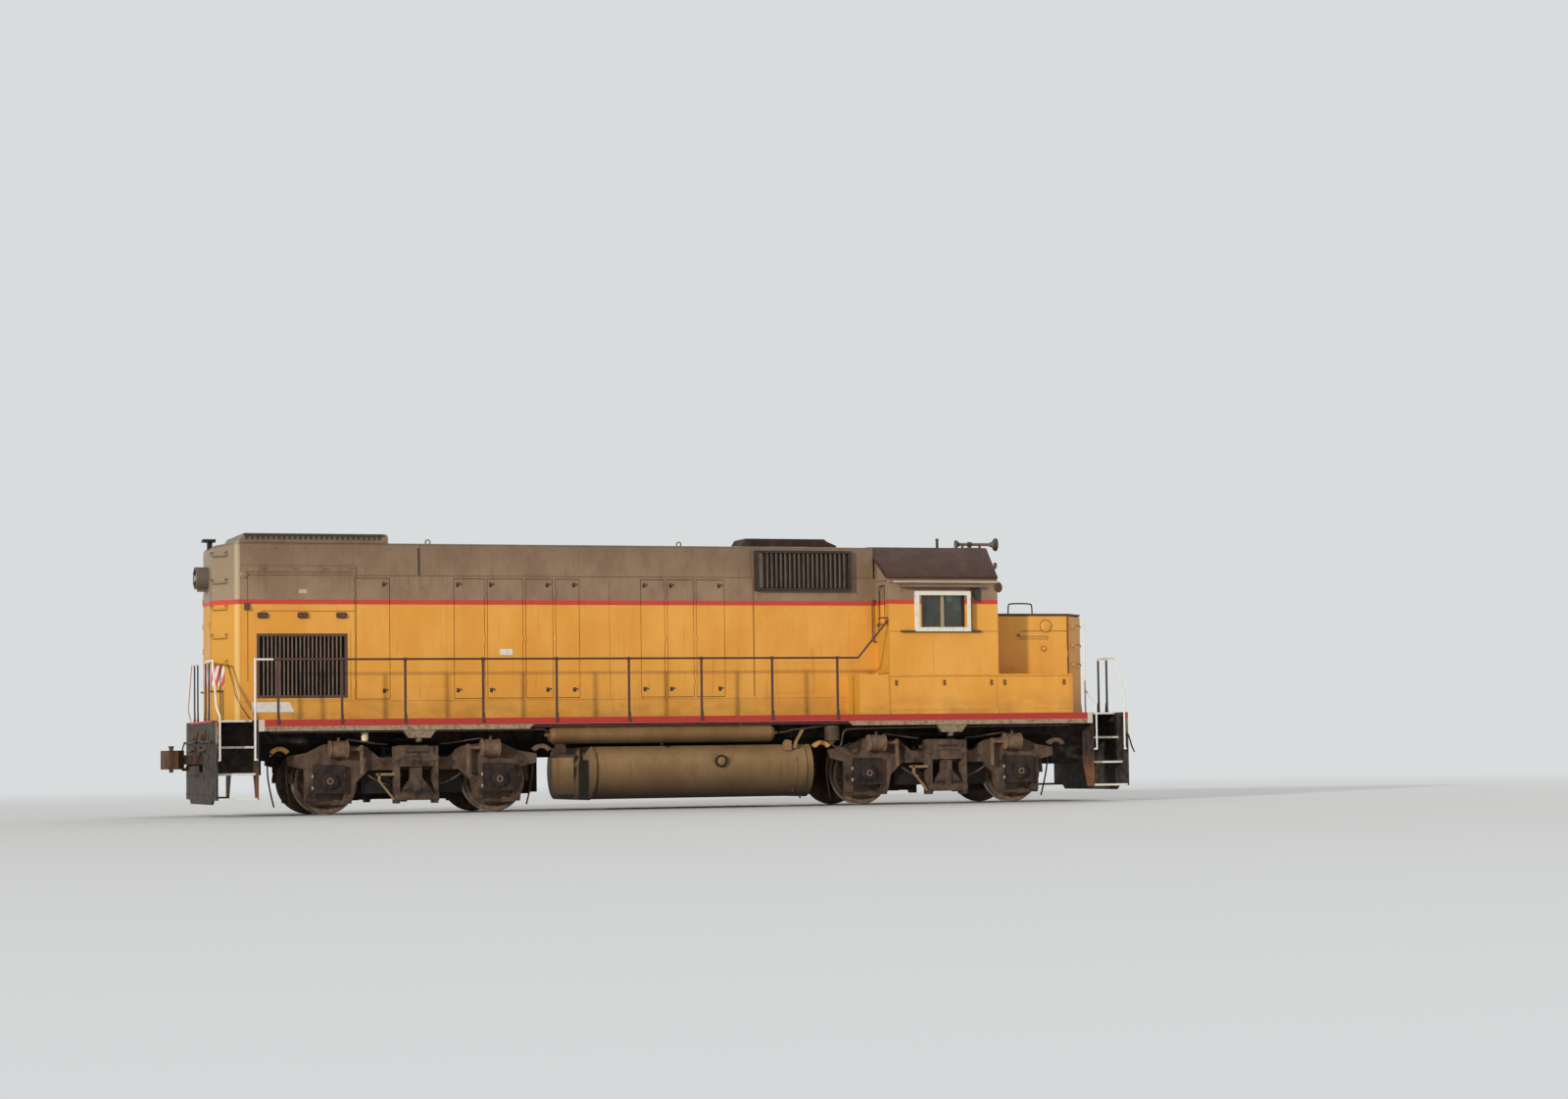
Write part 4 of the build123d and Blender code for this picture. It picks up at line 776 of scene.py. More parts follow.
def hood_end_fittings():
    """The hood's end: the banded panels, a door, the headlight and a lamp bracket."""
    # banded panels round the bevels and across the end, over the walkway
    low, high = 2.035, 2.367
    form = Form()
    for side in (-1, 1):
        corners = ((0.30, 0.0), (0.30, 0.005), (0.575, 0.005), (0.575, 0.0))
        strip = [on_bevel(along, out, low) for along, out in corners]
        form.skin([[(x, -side * y, z) for x, y, _ in strip] for z in (low, high)])
    form.block((HOOD_END, -0.425, low), (HOOD_END - 0.005, 0.425, high))
    form.show("stripe_panels", "striped_enamel", slot="white_paint", bevel_mm=0)

    # a door in the end with its hinges, latch and bolts
    form = Form()
    form.block((HOOD_END, -0.36, 2.45), (HOOD_END - 0.012, 0.36, 3.52))
    for z in (2.60, 3.00, 3.40):
        form.pin((HOOD_END - 0.014, 0.365, z - 0.05), UPWARD, 0.010, 0.10)
    form.block((HOOD_END - 0.010, -0.31, 2.96), (HOOD_END - 0.030, -0.27, 3.06))
    form.bolts([(HOOD_END - 0.012, y, z) for y in (-0.33, 0.0, 0.33) for z in (2.48, 3.49)], REARWARD,
               0.020, 0.008)
    form.show("end_door", "livery_enamel", slot="body_paint")

    # headlight: a barrel with a bolted rim, and two sealed lamps
    z = 3.770
    form = Form()
    form.ring((HOOD_END, 0, z), REARWARD,
              ((0.0, 0.178), (0.0, 0.164), (0.188, 0.164), (0.188, 0.150), (0.196, 0.150), (0.206, 0.160),
               (0.206, 0.170), (0.196, 0.178)), 48)
    form.bolts([(HOOD_END - 0.206, 0.164 * math.cos(a), z + 0.164 * math.sin(a)) for a in around(6, 0.5)],
               REARWARD, 0.016, 0.007)
    form.block((HOOD_END, -0.05, z - 0.215), (HOOD_END - 0.160, 0.05, z - 0.160))
    form.show("headlight_barrel", "headlight_enamel", slot="lamp_black")
    lamp_pair("rear_headlight", HOOD_END - 0.188, z)
    # a small lamp bracket standing on the roof's rear edge
    form = Form()
    form.block((HOOD_END, -0.060, 4.22), (HOOD_END + 0.070, 0.060, 4.35))
    form.block((HOOD_END - 0.080, -0.100, 4.345), (HOOD_END + 0.120, 0.100, 4.392))
    form.show("roof_lamp_bracket", "black_enamel", slot="lamp_black")


def lamp_pair(name, x, z, spread=0.078, radius=0.068):
    """Two sealed lamps side by side on a dark panel, facing the rear."""
    inner = radius - 0.008
    form = Form()
    form.turned((x, 0, z), REARWARD, ((-0.01, 0.148), (0.002, 0.148), (0.002, 0.02)), 40)
    for y in (-spread, spread):
        form.ring((x, y, z), REARWARD, ((0.0, radius), (0.010, radius), (0.010, inner), (0.0, inner)), 32)
    form.show(name + "_panel", "black_enamel", slot="lamp_black", bevel_mm=1.0)
    form = Form()
    for y in (-spread, spread):
        form.turned((x, y, z), REARWARD,
                    ((0.002, radius - 0.009), (0.005, radius - 0.010), (0.009, radius * 0.6),
                     (0.010, 0.004)), 32)
    form.show(name + "_lenses", "lamp_glass", slot="window_glass", bevel_mm=0)


# Roof: radiator fans and fins, silencer, horn and aerial

FIN_RUN = 2.24                  # length of the radiator's lid that has fins under it
FAN_BLADES = 8
GUARD_RINGS = 8


def roof_fittings(sizes):
    """Fins and fans of the radiator, plates over the engine, and the silencer's outlets and ribs."""
    lid = 4.440
    # fins under the radiator's lid, and its welded rim
    form = Form()
    pitch = sizes.fin_pitch
    for k in range(int(FIN_RUN / pitch)):
        x = -7.17 + k * pitch
        form.block((x, -0.832, 4.352), (x + pitch * 0.42, -0.846, 4.410))
    form.block((-7.19, -0.850, 4.408), (-4.97, -0.862, 4.442))
    form.mirrored()
    for x in (-7.195, -4.975):
        form.block((x, -0.862, 4.412), (x + 0.012, 0.862, 4.442))
    form.show("radiator_fins", "lamp_housing_enamel", slot="roof_paint", bevel_mm=1.5)

    # two fans, each a shroud, a black disc as painted shade in the well, blades and a wire guard
    radius = sizes.fan_radius
    for name, x in (("rear", -6.62), ("front", -5.52)):
        form = Form()
        shroud = ((-0.004, 0.04), (0.004, 0.04), (0.006, 0.012), (0.014, 0.0), (0.010, -0.012),
                  (-0.004, -0.012))
        form.ring((x, 0, lid), UPWARD, [(place, radius + out) for place, out in shroud], 64)
        circle = radius + 0.026
        form.bolts([(x + circle * math.cos(a), circle * math.sin(a), lid + 0.004) for a in around(16, 0.5)],
                   UPWARD, 0.018, 0.007)
        form.show(f"{name}_fan_shroud", "roof_enamel", slot="roof_paint")
        form = Form()
        # painted shade: a black disc in the fan's well
        form.pin((x, 0, lid), UPWARD, radius - 0.014, 0.002, 64)
        form.show(f"{name}_fan_well", "black_enamel", slot="lamp_black", bevel_mm=0)
        form = Form()
        form.turned((x, 0, lid), UPWARD, ((0.0, 0.13), (0.006, 0.13), (0.009, 0.09)), 32)
        for a in around(FAN_BLADES):
            across = Vector((-math.sin(a), math.cos(a), 0))
            out = Vector((math.cos(a), math.sin(a), 0))
            corners = ((-1, 0.002), (1, 0.006), (1, 0.009), (-1, 0.004))
            form.skin([[Vector((x, 0, lid + rise)) + out * r + across * half * way for way, rise in corners]
                       for r, half in ((0.12, 0.05), (radius - 0.04, 0.085))])
        form.show(f"{name}_fan_blades", "lamp_housing_enamel", slot="lamp_black", bevel_mm=1.0)
        form = Form()
        for k in range(1, GUARD_RINGS):
            r = radius * k / GUARD_RINGS
            wire = [(0.003 * math.cos(b), r + 0.003 * math.sin(b)) for b in (0, 2.1, 4.2)]
            form.ring((x, 0, lid + 0.014), UPWARD, wire, 40)
        for a in around(8):
            form.turned((x, 0, lid + 0.012), (math.cos(a), math.sin(a), 0),
                        ((0.02, 0.004), (radius, 0.004)), 6)
        form.show(f"{name}_fan_guard", "lamp_housing_enamel", slot="grille_steel", bevel_mm=0)
    # blanked hatch ahead of the fans, and bolted plates over the engine
    form = Form()
    form.block((-4.80, -0.28, 4.322), (-4.45, 0.28, 4.334))
    for x0, x1 in ((-3.9, -2.6), (-2.2, -1.4), (-0.9, 0.9)):
        form.block((x0, -0.27, 4.322), (x1, 0.27, 4.332))
        form.bolts([(x, y, 4.332) for x in (x0 + 0.05, (x0 + x1) / 2, x1 - 0.05) for y in (-0.23, 0.23)],
                   UPWARD, 0.022, 0.009)
    form.show("roof_plates", "roof_enamel", slot="roof_paint")

    # silencer: two outlets with dark throats, and welded ribs
    top = 4.470
    for name, x in (("rear", 1.72), ("front", 2.28)):
        form = Form()
        form.rim("Z", (x - 0.20, x + 0.20), (-0.12, 0.12), 0.020, (top - 0.002, top + 0.012))
        form.show(f"{name}_exhaust_outlet", "silencer_paint", slot="cab_roof_paint")
        form = Form()
        form.block((x - 0.185, -0.105, top), (x + 0.185, 0.105, top + 0.003))
        form.show(f"{name}_exhaust_throat", "black_enamel", slot="lamp_black", bevel_mm=0)
    form = Form()
    for x in (1.45, 2.0, 2.55):
        form.block((x, -0.301, 4.33), (x + 0.020, 0.301, top + 0.002))
    form.show("silencer_ribs", "silencer_paint", slot="cab_roof_paint")


def radiator_cores():
    """Tube-and-fin blocks behind the two radiator grilles, in black that also stands as painted shade there,
    on a plain black backing.
    """
    form = Form()
    for z in (1.835 + k * 0.0425 for k in range(24)):
        form.block((-7.005, -0.760, z), (-5.565, -0.838, z + 0.030))
    # painted shade: a plain black backing behind the cores
    form.block((-7.005, -0.730, 1.83), (-5.565, -0.770, 2.85))
    form.mirrored().show("radiator_cores", "black_enamel", slot="lamp_black", bevel_mm=0)


def horn_and_aerial():
    """Bells, bracket and air pipe of the horn, and the aerial behind it."""
    y, z = -0.200, 4.412
    form = Form()
    form.ring((0, y, z), FORWARD,
              ((5.906, 0.107), (5.930, 0.114), (5.936, 0.114), (5.936, 0.109), (5.915, 0.098),
               (5.870, 0.046), (5.860, 0.034), (5.858, 0.040), (5.880, 0.062)), 40)
    form.ring((0, y, z), REARWARD,
              ((-5.196, 0.072), (-5.184, 0.075), (-5.182, 0.070), (-5.205, 0.056), (-5.240, 0.030),
               (-5.245, 0.036)), 32)
    form.turned((0, y, z), FORWARD, ((5.40, 0.030), (5.41, 0.044), (5.47, 0.044), (5.48, 0.030)), 24)
    form.show("horn_bells", "lamp_housing_enamel", slot="lamp_black", bevel_mm=1.0)
    form = Form()
    for x in (5.30, 5.44, 5.62):
        form.block((x, y - 0.034, z - 0.060), (x + 0.020, y + 0.034, z - 0.024))
    form.block((5.28, y - 0.045, z - 0.092), (5.68, y + 0.045, z - 0.060))
    form.show("horn_bracket", "brown_enamel", slot="lamp_black")
    form = Form()
    form.turned((4.92, 0, 4.322), UPWARD,
                ((-0.02, 0.050), (0.012, 0.050), (0.020, 0.026), (0.150, 0.024), (0.176, 0.030),
                 (0.196, 0.028), (0.200, 0.016)), 24)
    form.show("aerial", "brown_enamel", slot="lamp_black")
    tubes("horn_air_pipe",
          [[(5.44, y, z - 0.03), (5.44, y - 0.10, z - 0.06), (5.35, y - 0.12, 4.33),
            (5.05, y - 0.12, 4.335)]], 0.009, "brown_enamel")


# Cab: window frames, rubbers, lamps, rails and what shows through the glass

CAB_FACE = 1.530                # half the cab's width
CAB_REAR, CAB_FRONT = 3.430, 5.390
BOX_FRONT = CAB_FRONT + 0.085   # the box over the windscreens that holds the lamps
SHADE_SHEET_FOLDS = 12
CAB_FLOOR = 2.14


def cab_roof_shell():
    """The cab's roof, its front edge swept back from crown to eaves, standing for the frame's square one."""
    under, over = 3.745, 4.270
    # half the outline as (y, z, x of the front edge): the underside from eave to crown, then the top
    half = [(1.575, under, 5.385), (1.470, under, 5.407), (0.600, over, 5.590)]
    crown = [(0.600, over + 0.052, 5.590), (1.575, under + 0.025, 5.385)]
    outline = [*((-y, z, x) for y, z, x in half), *half[::-1], *crown[::-1],
               *((-y, z, x) for y, z, x in crown)]
    form = Form()
    form.skin([[(3.400, y, z) for y, z, x in outline], [(x, y, z) for y, z, x in outline]], capped=False)
    # both ends closed by three faces each: the two slopes and the middle
    form.mesh.verts.ensure_lookup_table()
    for first in (0, len(outline)):
        for corners in ((0, 1, 2, 8, 9), (2, 3, 7, 8), (3, 4, 5, 6, 7)):
            form.mesh.faces.new([form.mesh.verts[first + k] for k in corners])
    made = form.show("cab_roof_shell", "sooty_cab_enamel", slot="cab_roof_paint", bevel_mm=6.0)
    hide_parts("cab_roof")


def cab_side_fittings(sizes):
    """Window frames and rubbers, deflectors, shades, drip rails, mirrors and markers."""
    # white frames round the side windows, standing over the frame in the wall
    form = Form()
    form.rim("Y", (3.881, 4.879), (2.851, 3.529), sizes.frame_border, (-1.532, -1.610))
    form.mirrored().show("window_frames", "white_trim_enamel", slot="white_paint", bevel_mm=8.0)
    # black rubbers round all the glass, and the side windows' middle posts and sills
    form = Form()
    form.rim("Y", (3.975, 4.785), (2.90, 3.49), 0.014, (-1.500, -1.560))
    form.mirrored()
    for y0, y1 in ((0.09, 0.80), (-0.80, -0.09)):
        form.rim("X", (y0, y1), (3.30, 3.76), 0.016, (5.386, 5.396))
    form.rim("X", (-1.40, -1.01), (2.96, 3.56), 0.014, (5.386, 5.396))
    form.rim("X", (1.01, 1.40), (2.96, 3.56), 0.014, (3.424, 3.434))
    form.show("window_rubbers", "rubber_seal", slot="lamp_black", bevel_mm=2.0)
    form = Form()
    form.block((4.358, -1.505, 2.905), (4.418, -1.530, 3.485))
    form.block((3.985, -1.505, 2.905), (4.775, -1.522, 2.935))
    form.mirrored().show("window_posts", "tan_enamel", slot="cab_interior")
    # quarter deflector ahead of the window
    form = Form()
    form.prism([(4.905, 3.585), (5.070, 3.585), (5.070, 3.36), (5.040, 3.34), (4.905, 3.50)], "Y", -1.532,
               -1.560)
    form.block((4.886, -1.530, 2.86), (4.894, -1.622, 3.55))
    form.mirrored().show("wind_deflectors", "lamp_housing_enamel", slot="lamp_black")
    # faint seam along the cab's side
    form = Form()
    form.block((3.440, -CAB_FACE, 2.853), (5.380, -CAB_FACE - 0.002, 2.860))
    form.mirrored().show("cab_seams", "seam_brown", slot="body_paint", bevel_mm=0)
    # sunshades over the side windows and arm rests under them, drip rails, mirrors and markers
    form = Form()
    form.block((3.615, -1.528, 3.622), (5.085, -1.636, 3.632))
    form.block((3.615, -1.628, 3.585), (5.085, -1.639, 3.632))
    form.block((3.635, -1.530, 2.842), (5.065, -1.580, 2.872))
    form.bolts([(x, -1.560, 2.872) for x in (3.75, 4.0, 4.7, 4.95)], UPWARD, 0.018, 0.006)
    form.mirrored().show("shades_and_rests", "brown_enamel", slot="handrail_paint")
    form = Form()
    form.block((3.50, -1.530, 3.668), (5.385, -1.575, 3.702))
    form.mirrored().show("drip_rails", "pale_enamel", slot="body_paint", bevel_mm=2.0)
    form = Form()
    form.turned((5.400, -1.470, 3.60), (0.4, -1, 0),
                ((0, 0.050), (0.02, 0.085), (0.05, 0.090), (0.065, 0.075)), 28)
    form.turned((5.345, -1.560, 3.955), UPWARD,
                ((-0.05, 0.016), (0.0, 0.030), (0.045, 0.032), (0.060, 0.014)), 20)
    form.mirrored().show("mirrors_and_markers", "brown_enamel", slot="handrail_paint")


def cab_front_fittings():
    """The front wall's blank panels, headlights, marker lamps and wipers."""
    form = Form()
    for y0, y1 in ((0.345, 0.815), (-0.815, -0.345)):
        form.block((BOX_FRONT + 0.005, y0, 3.863), (BOX_FRONT + 0.009, y1, 3.997))
    form.show("blank_number_panels", "milk_glass", slot="window_glass", bevel_mm=1.0)
    form = Form()
    for y_span, z_span in (((0.330, 0.830), (3.850, 4.010)), ((-0.830, -0.330), (3.850, 4.010)),
                           ((-0.300, 0.300), (3.830, 4.060))):
        form.rim("X", y_span, z_span, 0.018, (BOX_FRONT, BOX_FRONT + 0.017))
    form.show("number_box_rims", "livery_enamel", slot="body_paint")
    rings, lenses = Form(), Form()
    for side in (-1, 1):
        headlight = (BOX_FRONT + 0.033, side * 0.110, 3.945)
        rings.ring(headlight, FORWARD,
                   ((0.0, 0.094), (0.010, 0.094), (0.014, 0.088), (0.010, 0.080), (0.0, 0.080)), 40)
        rings.turned((BOX_FRONT - 0.025, side * 0.62, 3.79), FORWARD,
                     ((-0.06, 0.045), (0.0, 0.050), (0.020, 0.046), (0.022, 0.040)), 24)
        lenses.turned(headlight, FORWARD, ((-0.004, 0.082), (0.002, 0.081), (0.010, 0.05), (0.012, 0.004)),
                      32)
        lenses.turned((BOX_FRONT - 0.003, side * 0.62, 3.79), FORWARD,
                      ((-0.004, 0.040), (0.006, 0.034), (0.012, 0.018), (0.013, 0.003)), 24)
    rings.show("headlight_rings", "lamp_housing_enamel", slot="lamp_black", bevel_mm=1.5)
    lenses.show("front_lenses", "lamp_glass", slot="window_glass", bevel_mm=0)
    wipers = []
    for side in (-1, 1):
        arm = ((0.012, 0.46, 3.785), (0.030, 0.46, 3.78), (0.024, 0.36, 3.48))
        blade = ((0.014, 0.33, 3.36), (0.014, 0.39, 3.62))
        wipers += [[(CAB_FRONT + out, side * y, z) for out, y, z in bar] for bar in (arm, blade)]
    tubes("wipers", wipers, 0.006, "black_enamel")


def cab_end_fittings():
    """The cab doors' handles, rubbers, hinges and grabs; left door in front, right door behind."""
    ends = (("cab_front_door", CAB_FRONT, 1, 1), ("cab_rear_door", CAB_REAR, -1, -1))
    for name, x, way, side in ends:
        form = Form()
        form.rim("X", sorted((side * 1.069, side * 1.351)), (2.98, 3.64), 0.014,
                 (x - 0.002, x + way * 0.008))
        form.coat = 1
        form.block((x, side * 1.015, 2.90), (x + way * 0.008, side * 1.055, 3.02))
        form.turned((x, side * 1.035, 2.98), (way, 0, 0), ((0, 0.014), (0.030, 0.012), (0.034, 0.018)), 16)
        form.block((x + way * 0.024, side * 1.030, 2.968), (x + way * 0.038, side * 1.140, 2.986))
        form.show(name + "_furniture", ("rubber_seal", "worn_handle_steel"), name, "lamp_black",
                  bevel_mm=2.0)
    form = Form()
    for _, x, way, side in ends:
        for z in (2.35, 2.95, 3.55):
            form.pin((x + way * 0.008, side * 1.450, z - 0.05), UPWARD, 0.010, 0.10, 12)
    form.block((CAB_REAR, -1.02, 2.165), (CAB_REAR - 0.012, -1.50, 2.215))
    form.show("door_hinges", "livery_enamel", slot="body_paint")
    front_grab = ((5.388, 2.55), (5.45, 2.55), (5.455, 2.60), (5.455, 3.40), (5.45, 3.45), (5.388, 3.45))
    rear_grab = ((3.432, 2.70), (3.36, 2.70), (3.355, 2.75), (3.355, 3.35), (3.36, 3.40), (3.432, 3.40))
    hook = [(3.432, -1.480, 3.085), (3.33, -1.482, 3.085), (3.29, -1.486, 3.085), (3.26, -1.49, 3.05)]
    tubes("cab_grabs", [[(x, 0.94, z) for x, z in front_grab], [(x, -0.94, z) for x, z in rear_grab], hook],
          0.011, "brown_enamel")


def cab_inside():
    """Levers and gauges, a rolled shade, the seats' pads, arm pads and a dark folded sheet behind the left
    window's glass as painted shade.
    """
    form = Form()
    for y in (0.50, 0.60, 0.70):
        form.turned((4.70, y, 3.18), (-0.4, 0, 1),
                    ((0, 0.012), (0.12, 0.010), (0.125, 0.022), (0.16, 0.022)), 14)
    for y in (0.48, 0.62, 0.76):
        form.ring((4.66, y, 3.28), (-1, 0, 0.2), ((0, 0.045), (0.02, 0.045), (0.02, 0.036), (0, 0.036)), 24)
    form.show("control_levers", "black_enamel", slot="cab_interior")
    form = Form()
    form.turned((4.60, -1.440, 3.41), FORWARD, ((0, 0.03), (0.005, 0.035), (0.135, 0.035), (0.14, 0.03)),
                16)
    form.block((4.607, -1.470, 3.20), (4.735, -1.462, 3.42))
    form.show("rolled_shades", "rolled_shade_cloth", slot="cab_interior")
    for side, side_name in SIDES:
        cushion(f"seat_pad_{side_name}", (4.31, side * 1.13, CAB_FLOOR + 0.545), (0.235, 0.235, 0.045))
        cushion(f"seat_back_{side_name}", (4.165, side * 1.13, CAB_FLOOR + 0.83), (0.045, 0.215, 0.24))
    form = Form()
    form.block((3.99, -1.485, 2.90), (4.10, -1.20, 2.985))
    form.show("arm_pads", "white_trim_enamel", slot="cab_interior", bevel_mm=12.0)
    # a dark folded sheet drawn down inside the left window as painted shade, each fold leaning the other way
    # from the last
    form = Form()
    fold = 0.05
    for k in range(SHADE_SHEET_FOLDS):
        z = 2.90 + k * fold
        lean = 0.006 * (k % 2)
        section = ((1.470 + lean, z), (1.474 + lean, z), (1.480 - lean, z + fold), (1.476 - lean, z + fold))
        form.skin([[(x, y, height) for y, height in section] for x in (3.97, 4.79)])
    form.show("window_blind", "blind_cloth", slot="cab_interior", bevel_mm=0)


# Short hood and side boxes

NOSE_FRONT = 7.370


def nose_fittings():
    """Covers, seams, the top plate, a door and grabs on the short hood."""
    face = -HOOD_FACE
    filler, boss = (6.540, face, 2.974), (6.495, face, 2.585)
    # sand filler's cover, a boss, a latch, a plate low on the side and two hinges
    form = Form()
    form.turned(filler, OUTWARD, ((0, 0.102), (0.014, 0.102), (0.024, 0.090), (0.030, 0.030)), 28)
    form.turned(boss, OUTWARD, ((0, 0.040), (0.020, 0.036), (0.024, 0.020)), 20)
    form.block((6.005, face, 2.790), (6.050, face - 0.020, 2.840))
    form.block((5.62, face, 2.24), (5.95, face - 0.006, 2.72))
    form.bolts([(x, face - 0.006, z) for x in (5.65, 5.92) for z in (2.27, 2.48, 2.69)], OUTWARD, 0.018,
               0.007)
    for x in (5.50, 6.93):
        form.pin((x, face - 0.008, 2.45), UPWARD, 0.008, 0.10)
    form.mirrored().show("nose_fittings", "livery_enamel", slot="body_paint")
    # dark seams round them, a dark umber strip down the front corner, and brown rings round the cover and the
    # boss as painted shadow
    form = Form()
    form.rim("Y", (6.063, 6.572), (2.747, 2.798), 0.008, (face, face - 0.006))
    form.block((6.063, face, 2.883), (6.950, face - 0.004, 2.893))
    form.block((6.932, face + 0.02, 2.16), (6.962, face - 0.006, 3.165))
    # painted shadow: brown rings round the sand filler's cover and the boss
    form.ring(filler, OUTWARD, ((0.0, 0.101), (0.010, 0.101), (0.010, 0.110), (0.0, 0.110)), 32)
    form.ring(boss, OUTWARD, ((0.0, 0.036), (0.012, 0.036), (0.012, 0.046), (0.0, 0.046)), 20)
    form.block((6.010, face - 0.018, 2.792), (6.045, face - 0.030, 2.838))
    form.mirrored().show("nose_seams", "umber_enamel", slot="body_paint", bevel_mm=1.0)
    # dark non-slip plate over the nose, its edge turned down
    half = [(5.395, 0.0), (5.395, 0.906), (6.962, 0.906), (7.376, 0.474), (7.376, 0.0)]
    form = Form()
    form.prism([(x, -y) for x, y in half] + half[-2:0:-1], "Z", 3.160, 3.186)
    form.show("nose_top_plate", "brown_enamel", slot="roof_paint")
    # front: a bolted door with its hinges, a rail on top, and hand grabs up the bevels
    form = Form()
    form.block((NOSE_FRONT, -0.38, 2.20), (NOSE_FRONT + 0.012, 0.38, 3.00))
    form.bolts([(NOSE_FRONT + 0.012, y, z) for y in (-0.35, 0, 0.35) for z in (2.23, 2.60, 2.97)],
               FORWARD, 0.020, 0.008)
    for z in (2.35, 2.60, 2.85):
        form.pin((NOSE_FRONT + 0.014, -0.385, z - 0.045), UPWARD, 0.009, 0.09)
    form.show("nose_front_door", "livery_enamel", slot="body_paint")
    top_rail = ((5.889, 3.17), (5.889, 3.33), (5.92, 3.362), (6.30, 3.362), (6.334, 3.33), (6.334, 3.17))
    tubes("nose_top_rail", [[(x, -0.80, z) for x, z in top_rail]], 0.013, "brown_enamel",
          both=True)
    (x0, y0), (x1, y1) = (7.02, -0.835), (7.28, -0.565)
    out_x, out_y = 0.7236 * 0.055, -0.6902 * 0.055
    rungs = []
    for high in (2.99, 2.66, 2.33):
        low = high - 0.05
        rungs.append([(x0, y0, high), (x0 + out_x, y0 + out_y, high), (x0 + out_x, y0 + out_y, low),
                      (x1 + out_x, y1 + out_y, low), (x1 + out_x, y1 + out_y, high), (x1, y1, high)])
    tubes("nose_grabs", rungs, 0.010, "livery_enamel", both=True)


def side_box_fittings():
    """Lids, hinges, latches and seams of the boxes under the cab and beside the short hood."""
    form = Form()
    for x0, x1 in ((CAB_REAR, 5.350), (5.370, 6.700)):
        form.block((x0, -CAB_FACE, 1.55), (x1, -CAB_FACE - 0.007, 2.100))
    for x in (3.66, 4.16, 4.66, 5.12, 5.68, 6.32):
        form.pin((x - 0.07, -CAB_FACE - 0.006, 2.112), FORWARD, 0.009, 0.14)
    form.mirrored().show("side_box_lids", "livery_enamel", slot="body_paint")
    form = Form()
    for x in (3.531, 4.391, 5.241, 5.482, 6.570):
        form.block((x - 0.012, -CAB_FACE - 0.006, 1.955), (x + 0.012, -CAB_FACE - 0.026, 2.045))
        for z in (1.965, 2.017):
            form.block((x - 0.012, -CAB_FACE - 0.010, z), (x + 0.034, -CAB_FACE - 0.020, z + 0.018))
    form.block((3.405, -CAB_FACE, 2.104), (6.725, -CAB_FACE - 0.002, 2.110))
    form.mirrored().show("side_box_latches", "umber_enamel", slot="body_paint", bevel_mm=1.0)


# Ends: couplers' levers, receptacles, air pipes, treads and stanchion feet

END_PLATE = 7.750               # outer face of the end plates
STEP_HALF = 1.110               # half the walkway's width between the corner steps
LEVER_HEIGHT = 1.15
PIPE_HEIGHT = 0.80


